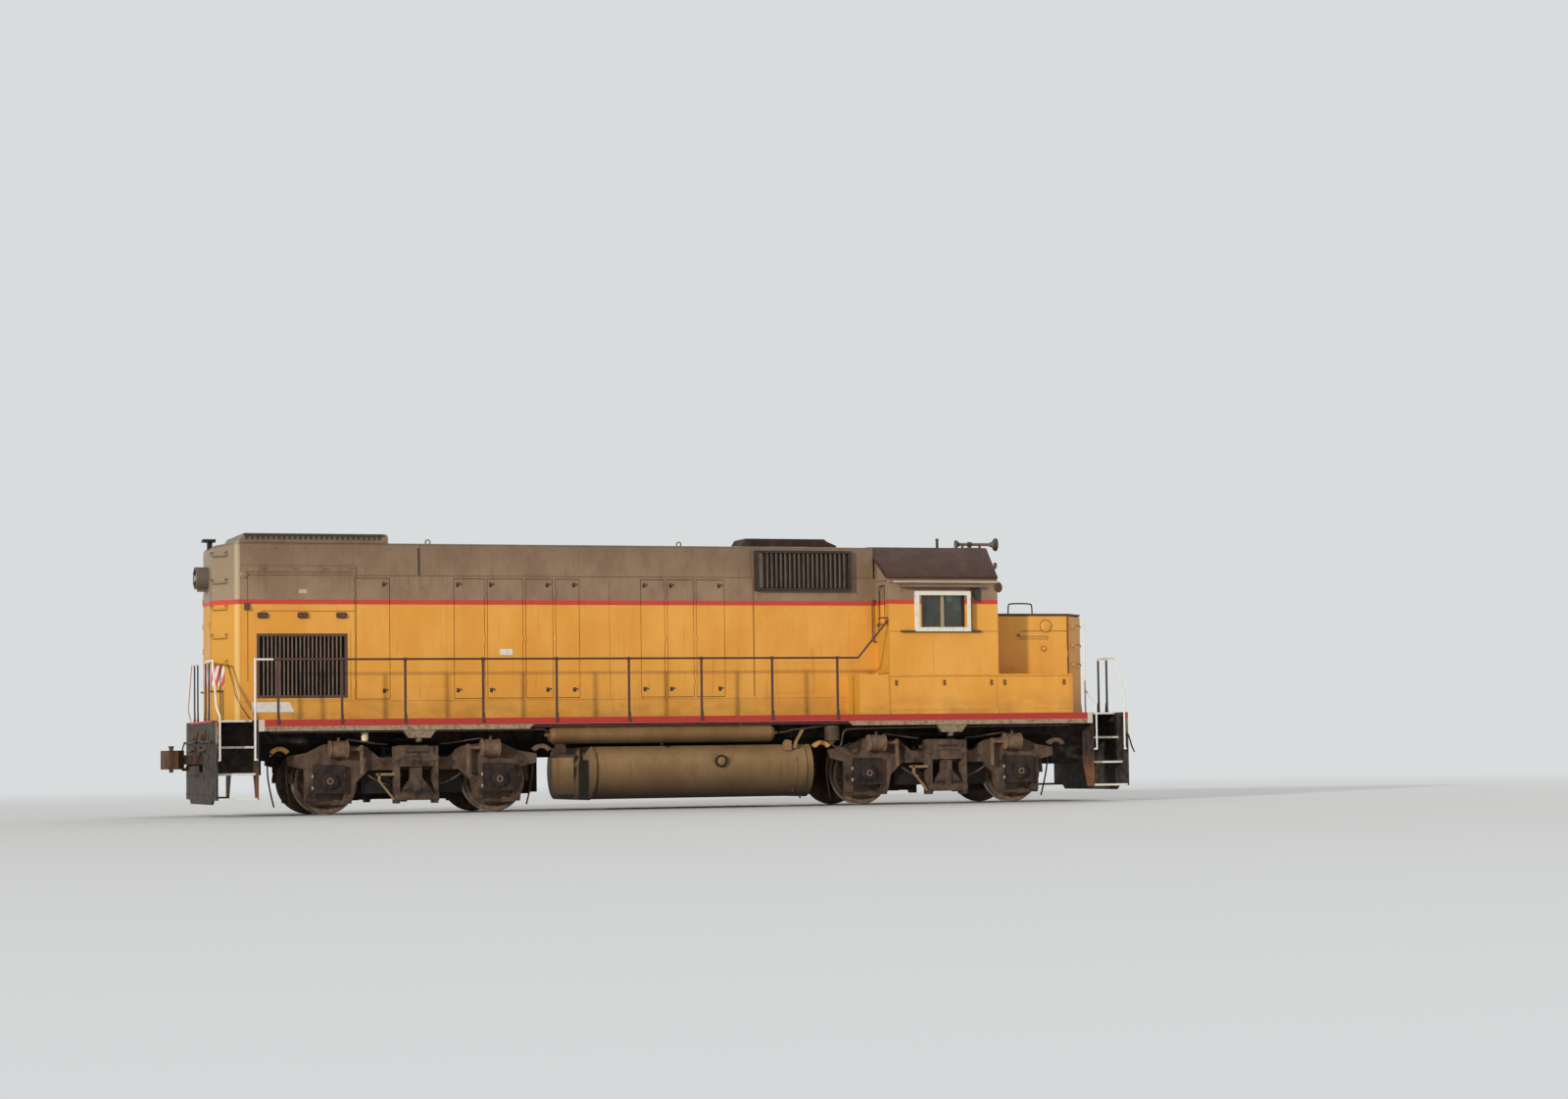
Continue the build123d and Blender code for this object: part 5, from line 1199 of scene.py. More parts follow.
def end_fittings(name, end):
    """One end's fittings; end is -1 at the rear and 1 at the front."""
    face = end * END_PLATE
    outward = (end, 0, 0)
    # jumper receptacles, air pipes' plates and stubs, lever brackets and bolts
    form = Form()
    receptacle = ((0, 0.075), (0.035, 0.075), (0.040, 0.062), (0.072, 0.060), (0.080, 0.045))
    for y in (-0.43, 0.43):
        form.turned((face, y, 1.25), outward, receptacle, 24)
    stub = ((0, 0.020), (0.045, 0.020), (0.050, 0.028), (0.075, 0.028))
    for y in (-0.62, -0.50, 0.50, 0.62, 0.74, -0.74):
        form.block((face, y - 0.028, 0.98), (face + end * 0.030, y + 0.028, 1.10))
        form.turned((face + end * 0.028, y, 1.04), (end, 0, -0.5), stub, 16)
    for y in (-1.30, -0.35, 0.35, 1.30):
        form.block((face, y - 0.025, LEVER_HEIGHT - 0.02),
                   (face + end * 0.080, y + 0.025, LEVER_HEIGHT + 0.02))
    form.bolts([(face, side * y, z) for side in (-1, 1) for y in (0.38, 0.80, 1.20, 1.48)
                for z in (0.32, 0.62)], outward, 0.030, 0.014)
    form.show(f"{name}_end_fittings", "box_enamel", slot="underframe_black")
    # uncoupling levers, one bent bar on each side of the coupler
    lever = ((0.06, 0.10, 1.19), (0.06, 0.20, LEVER_HEIGHT), (0.06, 1.20, LEVER_HEIGHT),
             (0.06, 1.34, LEVER_HEIGHT), (0.08, 1.40, 1.08), (0.12, 1.44, 0.86), (0.16, 1.45, 0.80))
    tubes(f"{name}_uncoupling_levers",
          [[(face + end * out, side * y, z) for out, y, z in lever] for side in (-1, 1)], 0.013,
          "lamp_housing_enamel")
    # train-line pipe with its angle cock, ending bare
    form = Form()
    y, z = -0.26 * end, PIPE_HEIGHT
    form.turned((face, y, z), outward,
                ((0, 0.024), (0.10, 0.024), (0.11, 0.034), (0.16, 0.038), (0.17, 0.028)), 16)
    form.turned((face + end * 0.15, y, z), (end * 0.5, 0, -0.86),
                ((0, 0.026), (0.07, 0.026), (0.08, 0.032), (0.11, 0.032)), 16)
    form.block((face + end * 0.11, y - 0.012, z + 0.03), (face + end * 0.15, y + 0.012, z + 0.085))
    form.show(f"{name}_angle_cock", "brown_enamel", slot="underframe_black")
    # red top edge of the end plate, white edges on the corner treads
    form = Form()
    half = STEP_HALF - 0.01
    form.block((face - end * 0.002, -half, 1.455), (face + end * 0.006, half, 1.482))
    form.show(f"{name}_red_edge", "red_enamel", slot="underframe_black", bevel_mm=1.0)
    form = Form()
    for height, out in ((0.265, 1.550), (0.650, 1.360), (1.070, 1.210)):
        form.block((end * 7.110, 0.002 - out, height - 0.030), (end * 7.718, -0.006 - out, height + 0.004))
    form.block((end * 7.120, -1.100, 1.452), (end * 7.715, -1.117, 1.484))
    form.mirrored().show(f"{name}_tread_edges", "white_trim_enamel", slot="white_paint", bevel_mm=1.5)
    # spread feet of the stanchions
    form = Form()
    foot = ((-0.055, 1.485), (0.055, 1.485), (0.022, 1.66), (-0.022, 1.66))
    for y in (-0.380, -0.720, 0.380, 0.720):
        form.prism([(y + dy, z) for dy, z in foot], "X", face - end * 0.024, face - end * 0.004)
        form.bolts([(face - end * 0.004, y + dy, 1.505) for dy in (-0.035, 0.035)], outward, 0.020, 0.009)
    form.show(f"{name}_stanchion_feet", "brown_enamel", slot="handrail_paint")
    # coupler: its knuckle pin, and a rib under the shank
    form = Form()
    pin = ((0, 0.026), (0.01, 0.034), (0.39, 0.034), (0.40, 0.045), (0.42, 0.045))
    form.turned((end * 8.235, end * 0.105, 0.876 - 0.20), UPWARD, pin, 20)
    form.block((end * 7.93, -0.030, 0.70), (end * 8.05, 0.030, 0.745))
    form.show(f"{name}_knuckle_pin", "coupler_steel", slot="underframe_black")


def handrail_fittings():
    """Sockets where each post meets the rail and the sill."""
    form = Form()
    for x in (-6.780, -5.775, -4.765, -3.505, -2.295, -1.087, 0.143, 1.360, 2.500):
        form.ring((x, -1.533, 2.420), FORWARD,
                  ((-0.030, 0.020), (-0.026, 0.026), (0.026, 0.026), (0.030, 0.020)), 16)
        form.block((x - 0.024, -1.548, 1.400), (x + 0.024, -1.560, 1.560))
        form.bolts([(x, -1.560, z) for z in (1.43, 1.52)], OUTWARD, 0.022, 0.010)
    form.mirrored().show("post_sockets", "handrail_enamel", slot="handrail_paint")


# Under the floor: tank, reservoirs, ducts, pipes and conduits

TANK_AXIS_Y, TANK_AXIS_Z, TANK_BEND = 1.019, 0.610, 0.464
RESERVOIR_Y = -1.395
DUCT_SEAMS = 6
TRUCK_CENTRES = (("rear", -4.534), ("front", 4.534))


def tank_side(height):
    """Where the tank's bulging right side stands at a height."""
    return -TANK_AXIS_Y - math.sqrt(TANK_BEND ** 2 - (height - TANK_AXIS_Z) ** 2)


def curved_strip(form, x0, x1, low, high, proud, steps=10):
    """A strip that follows the tank's side between two heights."""
    rings = []
    for z in (low + (high - low) * k / steps for k in range(steps + 1)):
        y = tank_side(z)
        rings.append([(x0, y + 0.004, z), (x0, y - proud, z), (x1, y - proud, z), (x1, y + 0.004, z)])
    form.skin(rings)


def tank_fittings():
    """Filler, gauge, seams and straps of the tank, the reservoirs' fittings, covers of the box behind."""
    # filler's cap, the gauge strip down the front end of the side, and a step block over it
    form = Form()
    form.turned((0.476, -1.490, 0.742), OUTWARD,
                ((0.0, 0.068), (0.045, 0.068), (0.056, 0.056), (0.060, 0.030)), 28)
    form.block((0.455, -1.545, 0.715), (0.497, -1.560, 0.770))
    curved_strip(form, 1.735, 1.795, 0.20, 0.80, 0.014)
    for z in (0.24, 0.76):
        form.turned((1.765, tank_side(z) + 0.004, z), OUTWARD, ((0, 0.026), (0.036, 0.024), (0.040, 0.014)),
                    14)
    form.prism([(1.60, 0.90), (1.72, 0.90), (1.72, 1.06), (1.64, 1.08), (1.60, 1.02)], "Y", -1.300, -1.425)
    form.mirrored().show("tank_fittings", "tank_enamel", slot="tank_paint")
    # filler's dark collar as painted shade of its recess, seams where the tank's ends meet its side, and dark
    # blocks up to the centre sill as painted shade
    form = Form()
    form.ring((0.476, -1.488, 0.742), OUTWARD,
              ((-0.02, 0.074), (-0.02, 0.100), (0.030, 0.102), (0.038, 0.094), (0.038, 0.080),
               (0.030, 0.074)), 32)
    for x in (-1.600, 1.975):
        curved_strip(form, x - 0.007, x + 0.007, 0.22, 0.96, 0.003)
    # painted shade: dark blocks between the tank and the centre sill
    form.block((-1.58, -0.45, 0.975), (1.98, 0.0, 1.16))
    form.block((-2.45, -0.31, 0.99), (2.95, 0.0, 1.16))
    form.mirrored().show("tank_seams", "oily_black", slot="lamp_black", bevel_mm=1.0)
    # rusty strap from the tank's front shoulder up to the sill
    form = Form()
    form.skin([[(x - 0.03, y, z) for y in (-1.395, -1.410)] + [(x + 0.03, y, z) for y in (-1.410, -1.395)]
               for x, z in ((1.78, 0.94), (1.80, 1.04), (1.93, 1.26))])
    form.mirrored().show("tank_straps", "strap_steel", slot="underframe_black", bevel_mm=2.0)
    # reservoirs' end fittings and drain cocks
    form = Form()
    for x, way in ((-2.39, -1), (1.40, 1)):
        form.turned((x, RESERVOIR_Y, 1.197), (way, 0, 0),
                    ((0, 0.045), (0.028, 0.045), (0.032, 0.030), (0.075, 0.028)), 18)
    form.turned((-0.50, RESERVOIR_Y, 1.055), (0, 0, -1),
                ((0, 0.022), (0.030, 0.022), (0.034, 0.014), (0.060, 0.014)), 12)
    form.mirrored().show("reservoir_fittings", "reservoir_enamel", slot="tank_paint", bevel_mm=1.5)
    # tan covers on the hung box behind the tank
    form = Form()
    form.block((-2.243, -1.02, 0.24), (-2.257, -1.39, 0.83))
    form.block((-2.240, -1.398, 0.24), (-1.995, -1.412, 0.83))
    form.bolts([(x, -1.412, z) for x in (-2.21, -2.03) for z in (0.30, 0.54, 0.78)], OUTWARD, 0.024, 0.012)
    form.mirrored().show("hung_box_covers", "tank_enamel", slot="tank_paint")


def underfloor_fittings():
    """Air ducts to the motors, the air dryer's ribs and foot, sill pipes, and the rear corners' conduits."""
    # sheet ducts under the centre sill, with mouths over the motors, dark blocks under them as painted shade,
    # and a round plate at the truck's centre, all in oily black
    form = Form()
    for _, middle in TRUCK_CENTRES:
        for way in (-1, 1):
            near, far = middle + way * 0.36, middle + way * 2.46
            form.block((near, -0.32, 0.925), (far, 0.32, 1.135))
            for k in range(DUCT_SEAMS):
                x = near + (far - near) * (k + 0.5) / DUCT_SEAMS
                form.block((x - 0.014, -0.328, 0.921), (x + 0.014, 0.328, 1.13))
            form.block((middle + way * 0.95, -0.24, 0.76), (middle + way * 1.25, 0.24, 0.98))
            # painted shade: dark blocks filling the gaps over the truck
            form.block((near, -0.30, 0.885), (middle + way * 0.90, 0.30, 0.98))
            form.block((middle + way * 2.16, -0.26, 0.84), (far, 0.26, 0.98))
        form.pin((middle, 0, 1.05), UPWARD, 0.35, 0.09, 32)
    form.show("motor_air_ducts", "oily_black", slot="underframe_black")
    # air dryer's ribs and foot, and a pale bowl over the rear truck
    form = Form()
    rib = ((-0.008, 0.121), (-0.006, 0.130), (0.006, 0.130), (0.008, 0.121))
    for k in range(5):
        form.ring((2.440, -1.380, 1.090 + k * 0.042), UPWARD, rib, 32)
    form.turned((2.440, -1.380, 1.060), (0, 0, -1),
                ((0, 0.060), (0.04, 0.055), (0.045, 0.030), (0.075, 0.026)), 18)
    form.mirrored().show("underfloor_valves", "box_enamel", slot="underframe_black")
    form = Form()
    form.turned((-5.370, -1.300, 1.130), UPWARD,
                ((0, 0.035), (0.012, 0.054), (0.130, 0.056), (0.145, 0.040), (0.170, 0.036)), 20)
    form.mirrored().show("pale_bowls", "cream_enamel", slot="underframe_black")
    # sill pipes between the trucks and out to both ends
    runs = [[(-7.00, -1.515, 1.335), (-6.2, -1.515, 1.335), (2.6, -1.515, 1.345), (6.9, -1.515, 1.335)],
            [(-6.90, -1.470, 1.285), (-2.6, -1.470, 1.285), (-2.5, -1.46, 1.30), (-2.42, -1.44, 1.24),
             (-2.42, -1.395, 1.20)],
            [(1.50, -1.395, 1.20), (1.62, -1.395, 1.20), (1.70, -1.40, 1.24), (2.10, -1.42, 1.27),
             (2.40, -1.40, 1.33)],
            [(2.44, -1.38, 1.02), (2.44, -1.38, 0.96), (2.60, -1.40, 0.93), (2.62, -1.40, 1.20),
             (2.75, -1.42, 1.27), (6.7, -1.42, 1.27)]]
    tubes("sill_pipes", runs, 0.015, "handrail_enamel", both=True)
    # conduits down the rear corners, and the brackets that they pass
    tubes("corner_conduits",
          [[on_bevel(0.324, 0.020, z) for z in (1.96, 1.70, 1.49)],
           [on_bevel(0.22, 0.012, 2.37), on_bevel(0.05, 0.05, 2.02), on_bevel(0.02, 0.02, 1.80),
            (-7.12, -0.915, 1.50)]], 0.006, "brown_enamel", both=True)
    form = Form()
    corners = ((0.325, 0.0), (0.325, 0.035), (0.62, 0.035), (0.62, 0.0))
    form.skin([[on_bevel(along, out, z) for along, out in corners] for z in (1.940, 1.964)])
    form.mirrored().show("corner_brackets", "brown_enamel", slot="lamp_black")


# Trucks: journal covers, brake cylinders, springs, shoes, pipes, gear cases and wheels

HALF_BASE = 1.3715
WHEEL_RADIUS = 0.508
AXLE_Z = WHEEL_RADIUS
INNER_FACE = 0.678              # half the gauge between the wheels' backs


def journal_covers(name, middle):
    """Covers on the four journals, with the liners, plates and bolts of the pedestals round them."""
    cover = ((0, 0.128), (0.016, 0.128), (0.024, 0.118), (0.028, 0.080), (0.036, 0.074))
    collar = ((0, 0.054), (0.016, 0.054), (0.020, 0.048), (0.020, 0.034), (0, 0.030))
    form = Form()
    for x in (middle - HALF_BASE, middle + HALF_BASE):
        form.coat = 0
        form.turned((x, -1.183, AXLE_Z), OUTWARD, cover, 36)
        form.bolts([(x + 0.101 * math.cos(a), -1.205, AXLE_Z + 0.101 * math.sin(a))
                    for a in around(6, 0.5)], OUTWARD, 0.034, 0.016)
        # pale rubbed tips of the liners
        form.coat = 1
        for dx, dz in ((-0.246, 0.080), (-0.246, -0.105), (0.246, 0.085)):
            form.block((x + dx - 0.020, -1.060, AXLE_Z + dz - 0.024),
                       (x + dx + 0.020, -1.078, AXLE_Z + dz + 0.024))
        # liner plates down both pedestal legs, and the tie bar's bolts below
        form.coat = 2
        for way in (-1, 1):
            edge = x + way * 0.200
            form.block((edge - 0.012, -1.058, AXLE_Z - 0.12), (edge + way * 0.045, -1.072, AXLE_Z + 0.20))
            form.bolts([(edge + way * 0.020, -1.072, AXLE_Z + z) for z in (-0.08, 0.04, 0.16)], OUTWARD,
                       0.022, 0.010)
            form.bolts([(edge + way * 0.060, -1.062, AXLE_Z - 0.235)], OUTWARD, 0.040, 0.020)
        form.coat = 3
        form.ring((x, -1.215, AXLE_Z), OUTWARD, collar, 28)
    paints = ("greasy_cast_steel", "pale_enamel", "cast_truck_steel", "rubbed_cap_steel")
    form.mirrored().show(f"{name}_journal_covers", paints, f"{name}_truck", "truck_steel", bevel_mm=2.0)


def brake_cylinders(name, middle):
    """Barrels with bolted heads, push rods, slack levers, pipe unions and the brackets behind them."""
    barrel = ((-0.165, 0.060), (-0.160, 0.120), (-0.145, 0.142), (-0.128, 0.142), (-0.124, 0.126),
              (0.118, 0.126), (0.122, 0.142), (0.140, 0.142), (0.150, 0.110), (0.158, 0.050))
    y, z = -1.165, 1.010
    form = Form()
    for way in (-1, 1):
        x = middle + way * 1.2315
        form.turned((x, y, z), (way, 0, 0), barrel, 40)
        for head in (-0.125, 0.142):
            form.bolts([(x + way * head, y + 0.132 * math.cos(a), z + 0.132 * math.sin(a))
                        for a in around(8, 0.5)], (way, 0, 0), 0.022, 0.012)
        form.turned((x - way * 0.158, y, z), (-way, 0, 0),
                    ((0, 0.030), (0.16, 0.030), (0.17, 0.045), (0.21, 0.045)), 18)
        form.block((x - way * 0.345, y - 0.018, z + 0.06), (x - way * 0.395, y + 0.018, z - 0.40))
        form.pin((x - way * 0.370, y - 0.030, z), (0, 1, 0), 0.026, 0.06, 14)
        form.turned((x, y, z + 0.12), UPWARD, ((0, 0.022), (0.045, 0.022), (0.05, 0.032), (0.07, 0.032)),
                    14)
        form.block((x - 0.11, -1.055, z - 0.10), (x + 0.11, -1.110, z + 0.10))
    form.mirrored().show(f"{name}_brake_cylinders", "brake_cylinder_enamel", f"{name}_truck", "truck_steel",
                         bevel_mm=2.0)


def frame_plates(name, middle):
    """Dark plates behind the springs as painted shade, and the arched brackets over the frame's ends, the
    rear one of each truck in ochre as painted light.
    """
    body = f"{name}_truck"
    form = Form()
    # painted shade: a dark plate behind the springs
    form.block((middle - 0.82, -0.895, 0.30), (middle + 0.82, -0.915, 0.90))
    form.mirrored().show(f"{name}_spring_guards", "oily_black", body, "truck_steel")
    form = Form()
    arch = [math.radians(a) for a in range(35, 146, 10)]
    for way in (-1, 1):
        hub = middle + way * 2.13
        inner, outer = [[(hub + r * math.cos(a), 0.87 + r * math.sin(a)) for a in arch]
                        for r in (0.125, 0.190)]
        # painted light: the rear arch in bright ochre, the front one in brake-cylinder paint
        form.coat = int(way > 0)
        form.prism(inner + outer[::-1], "Y", -0.870, -0.985)
    form.mirrored().show(f"{name}_end_arches", ("ochre_painted_light", "brake_cylinder_enamel"), body,
                         "truck_steel")


def spring_details(name, middle):
    """Hanger pins, leaves and bolts of the bolster's spring, black blocks as painted shade in its openings,
    and the safety strap.
    """
    body = f"{name}_truck"
    form = Form()
    # hanger pins, their heads, and the bolts over them
    for way in (-1, 1):
        x = middle + way * 0.310
        form.turned((x, -1.262, 0.860), OUTWARD, ((0, 0.052), (0.040, 0.052), (0.046, 0.040)), 24)
        form.turned((x, -1.262, 0.235), OUTWARD, ((0, 0.046), (0.045, 0.046), (0.052, 0.034)), 24)
        form.block((x - 0.052, -1.276, 0.18), (x + 0.052, -1.290, 0.30))
        form.bolts([(middle + way * along, -1.300, z) for z in (0.78, 0.98) for along in (0.18, 0.06)],
                   OUTWARD, 0.030, 0.014)
    # the spring's edge: five packs of three leaves, shorter towards the top
    for k, half in enumerate((0.250, 0.225, 0.190, 0.150, 0.105)):
        for layer in range(3):
            z = 0.313 + k * 0.044 + layer * 0.0145
            form.block((middle - half, -1.292, z), (middle + half, -1.305, z + 0.0115))
    # the buckle round them with its bolts, and the plank's edge
    form.block((middle - 0.050, -1.300, 0.300), (middle + 0.050, -1.325, 0.545))
    form.bolts([(middle, -1.325, z) for z in (0.34, 0.42, 0.50)], OUTWARD, 0.030, 0.014)
    form.block((middle - 0.285, -1.292, 0.196), (middle + 0.285, -1.308, 0.302))
    form.mirrored().show(f"{name}_spring_details", "cast_truck_steel", body, "truck_steel", bevel_mm=2.0)
    # black blocks as painted shade in the openings of the bolster's end and between the leaves and the plank
    form = Form()
    for x0, x1, near, far, z0, z1 in ((-0.17, 0.19, -1.298, -1.303, 0.935, 0.962),
                                      (-0.20, 0.23, -1.298, -1.303, 0.868, 0.880),
                                      (-0.235, -0.060, -1.303, -1.309, 0.322, 0.372),
                                      (0.060, 0.235, -1.303, -1.309, 0.322, 0.372)):
        form.block((middle + x0, near, z0), (middle + x1, far, z1))
    form.mirrored().show(f"{name}_bolster_slots", "black_enamel", body, "lamp_black", bevel_mm=0)
    # bent safety strap behind the rear hanger
    form = Form()
    strap = ((-0.60, 0.62), (-0.60, 0.50), (-0.36, 0.20))
    for joint in zip(strap, strap[1:]):
        form.skin([[(middle + x - 0.018, y, z) for y in (-1.225, -1.275)]
                   + [(middle + x + 0.018, y, z) for y in (-1.275, -1.225)] for x, z in joint])
    form.block((middle - 0.620, -1.10, 0.585), (middle - 0.30, -1.275, 0.625))
    form.mirrored().show(f"{name}_safety_straps", "strap_steel", body, "truck_steel", bevel_mm=2.0)


def brake_shoes(name, middle):
    """Heads and shoes against both sides of each tread, with the bars that hold them."""
    reach = WHEEL_RADIUS + 0.014
    sweep = [math.radians(a) for a in (-15, -9, -3, 3, 9, 15)]
    form = Form()
    for x in (middle - HALF_BASE, middle + HALF_BASE):
        for angle in (math.radians(168), math.radians(12)):
            inner = [(x + reach * math.cos(angle + a), AXLE_Z + reach * math.sin(angle + a)) for a in sweep]
            back = reach + 0.055
            outer = [(x + back * math.cos(angle + a), AXLE_Z + back * math.sin(angle + a))
                     for a in reversed(sweep)]
            form.prism(inner + outer, "Y", -0.700, -0.790)
            bar = x + (reach + 0.045) * math.cos(angle)
            form.block((bar - 0.022, -0.725, AXLE_Z + 0.14), (bar + 0.022, -0.765, AXLE_Z + 0.42))
    form.mirrored().show(f"{name}_brake_shoes", "cast_truck_steel", f"{name}_truck", "truck_steel",
                         bevel_mm=3.0)


def sand_pipes(name, middle):
    """Sand pipes down the frame's ends to the rail, the air line on its top, a rod between the journals."""
    sand = ((1.99, -0.90, 0.90), (2.015, -0.86, 0.70), (HALF_BASE + 0.61, -0.80, 0.36),
            (HALF_BASE + 0.545, -0.765, 0.085))
    air = ((1.10, -1.13, 1.165), (0.85, -1.09, 1.13), (0.60, -1.08, 1.09), (0.42, -1.02, 1.08))
    rod = ((HALF_BASE - 0.62, -1.085, 0.60), (HALF_BASE - 0.80, -1.085, 0.47), (0.40, -1.085, 0.44))
    routes = [[(middle + way * along, y, z) for along, y, z in route]
              for way in (-1, 1) for route in (sand, air, rod)]
    tubes(f"{name}_sand_pipes", routes, 0.014, "cast_truck_steel", f"{name}_truck",
          both=True)


def gear_cases(name, middle):
    """Ribs across each motor's case, and the gear case beside the wheel."""
    form = Form()
    for way in (-1, 1):
        x = middle + way * HALF_BASE
        motor = x - way * 0.45
        for y in (-0.30, -0.10, 0.10, 0.30):
            form.block((motor - 0.18, y - 0.012, 0.190), (motor + 0.18, y + 0.012, 0.206))
        for centre, edge, face, steps in ((x, 0.20, 0.30, 32), (x - way * 0.40, 0.12, 0.17, 28)):
            form.turned((centre, 0.455, AXLE_Z), (0, 1, 0),
                        ((0, edge), (0.01, face), (0.12, face), (0.13, edge)), steps)
    form.show(f"{name}_gear_cases", "box_enamel", f"{name}_truck", "truck_steel")


def wheels(name, middle):
    """Forged wheels with a curved web, rounded flange and hub, standing for the frame's plainer ones."""
    # place across the wheel from its inner face, radius, and whether the band is ground bright by the rail
    profile = ((0.000, 0.100, 0), (0.000, 0.445, 0), (0.006, 0.512, 0), (0.010, 0.526, 0),
               (0.018, 0.534, 1), (0.026, 0.533, 1), (0.034, 0.522, 1), (0.044, 0.509, 1),
               (0.090, 0.507, 1), (0.132, 0.505, 1), (0.140, 0.498, 0), (0.140, 0.452, 0),
               (0.122, 0.440, 0), (0.098, 0.400, 0), (0.088, 0.330, 0), (0.086, 0.240, 0),
               (0.094, 0.190, 0), (0.120, 0.160, 0), (0.152, 0.145, 0), (0.157, 0.138, 0),
               (0.157, 0.074, 0))
    stub = ((0.157, 0.074), (0.397, 0.072), (0.397, 0.001))
    for axle_name, way in (("rear", -1), ("front", 1)):
        x = middle + way * HALF_BASE
        form = Form()
        for side in (-1, 1):
            origin, axis = (x, side * INNER_FACE, AXLE_Z), (0, side, 0)
            for (*first, first_bright), (*last, last_bright) in zip(profile, profile[1:]):
                form.coat = first_bright * last_bright
                form.turned(origin, axis, (first, last), 72, capped=False)
            form.coat = 0
            for bands in zip(stub, stub[1:]):
                form.turned(origin, axis, bands, 32, capped=False)
        form.turned((x, -INNER_FACE, AXLE_Z), (0, 1, 0), ((0.0, 0.095), (2 * INNER_FACE, 0.095)), 32,
                    capped=False)
        made = form.show(f"{name}_{axle_name}_wheels", ("forged_wheel_steel", "polished_tread_steel"),
                         f"{name}_truck_{axle_name}_axle", "wheel_steel", bevel_mm=0, crease=50)
        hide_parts(f"{name}_truck_{axle_name}_wheelset")


# The studio: floor, lamps, sky and camera

CAMERA_PLACE = (-15.681, -51.71, 0.8)
CAMERA_YAW, CAMERA_PITCH, CAMERA_ROLL = 18.999, 3.702, -0.783
FOCAL_PIXELS, PHOTO_WIDTH = 3290.4, 1600
SENSOR_MM = 36.0
CAMERA_REACH = 1000.0
BACKDROP, FLOOR = "D9DCDD", "D2D2D0"
FLOOR_HALF = 400.0
FLOOR_FADES, FLOOR_GONE = 12.0, 60.0    # distances from the locomotive
KEY_WAY, FILL_WAY = (0.78, 0.60, -0.20), (-0.6, -0.7, -0.45)
KEY_STRENGTH, FILL_STRENGTH, SKY_STRENGTH = 2.4, 0.6, 0.6
KEY_SOFTNESS, FILL_SOFTNESS = 3.0, 40.0   # degrees; the key is crisp enough for the rails' shadows


def camera():
    """The camera at the photo's viewing angle."""
    yaw, pitch, roll = (math.radians(a) for a in (CAMERA_YAW, CAMERA_PITCH, CAMERA_ROLL))
    ahead = Vector((math.sin(yaw) * math.cos(pitch), math.cos(yaw) * math.cos(pitch), math.sin(pitch)))
    right = Vector((math.cos(yaw), -math.sin(yaw), 0.0))
    up = right.cross(ahead)
    across = math.cos(roll) * right + math.sin(roll) * up
    over = -math.sin(roll) * right + math.cos(roll) * up
    data = bpy.data.cameras.new("photo_camera")
    data.sensor_width = SENSOR_MM
    data.lens = SENSOR_MM * FOCAL_PIXELS / PHOTO_WIDTH
    data.clip_end = CAMERA_REACH
    made = linked("photo_camera", data)
    facing = Matrix((across, over, -ahead)).transposed().to_4x4()
    made.matrix_world = Matrix.Translation(CAMERA_PLACE) @ facing
    bpy.context.scene.camera = made


def sun(name, way, strength, softness):
    """A soft lamp shining one way."""
    data = bpy.data.lights.new(name, "SUN")
    data.energy = strength
    data.angle = math.radians(softness)
    made = linked(name, data)
    made.rotation_mode = "QUATERNION"
    made.rotation_quaternion = Vector(way).to_track_quat("-Z", "Y")


def sky():
    """An even white sky; seen, mirrored or looked at through glass, it has the backdrop's colour."""
    world = bpy.data.worlds.new("studio")
    world.use_nodes = True
    tree = world.node_tree
    tree.nodes.clear()
    rays = add_node(tree, "ShaderNodeLightPath")
    seen = rays.outputs["Is Camera Ray"]
    for kind in ("Is Glossy Ray", "Is Transmission Ray"):
        seen = add_node(tree, "ShaderNodeMath", {0: seen, 1: rays.outputs[kind]},
                        operation="MAXIMUM").outputs[0]
    lit = add_node(tree, "ShaderNodeBackground", {"Color": (1.0, 1.0, 1.0, 1.0), "Strength": SKY_STRENGTH})
    shown = add_node(tree, "ShaderNodeBackground", {"Color": linear(BACKDROP), "Strength": 1.0})
    chosen = add_node(tree, "ShaderNodeMixShader", {0: seen, 1: lit.outputs[0], 2: shown.outputs[0]})
    add_node(tree, "ShaderNodeOutputWorld", {0: chosen.outputs[0]})
    bpy.context.scene.world = world


def floor():
    """A pale floor that melts into the backdrop away from the locomotive."""
    paint = Paint("studio_floor", 0.9)
    paint.shader.inputs["Base Color"].default_value = linear(FLOOR)
    away = add_node(paint.tree, "ShaderNodeVectorMath", {0: paint.place},
                    operation="LENGTH").outputs["Value"]
    far = paint.rise(away, FLOOR_FADES, FLOOR_GONE, shape="SMOOTHSTEP")
    glow = add_node(paint.tree, "ShaderNodeEmission", {"Color": linear(BACKDROP)})
    mixed = add_node(paint.tree, "ShaderNodeMixShader",
                     {0: far, 1: paint.shader.outputs[0], 2: glow.outputs[0]})
    paint.tree.links.new(mixed.outputs[0], paint.tree.nodes["Material Output"].inputs["Surface"])
    mesh = bmesh.new()
    bmesh.ops.create_grid(mesh, x_segments=1, y_segments=1, size=FLOOR_HALF)
    mesh_object("studio_floor", mesh, ("studio_floor",))


# Sizes and colours that a user of the add-on may change

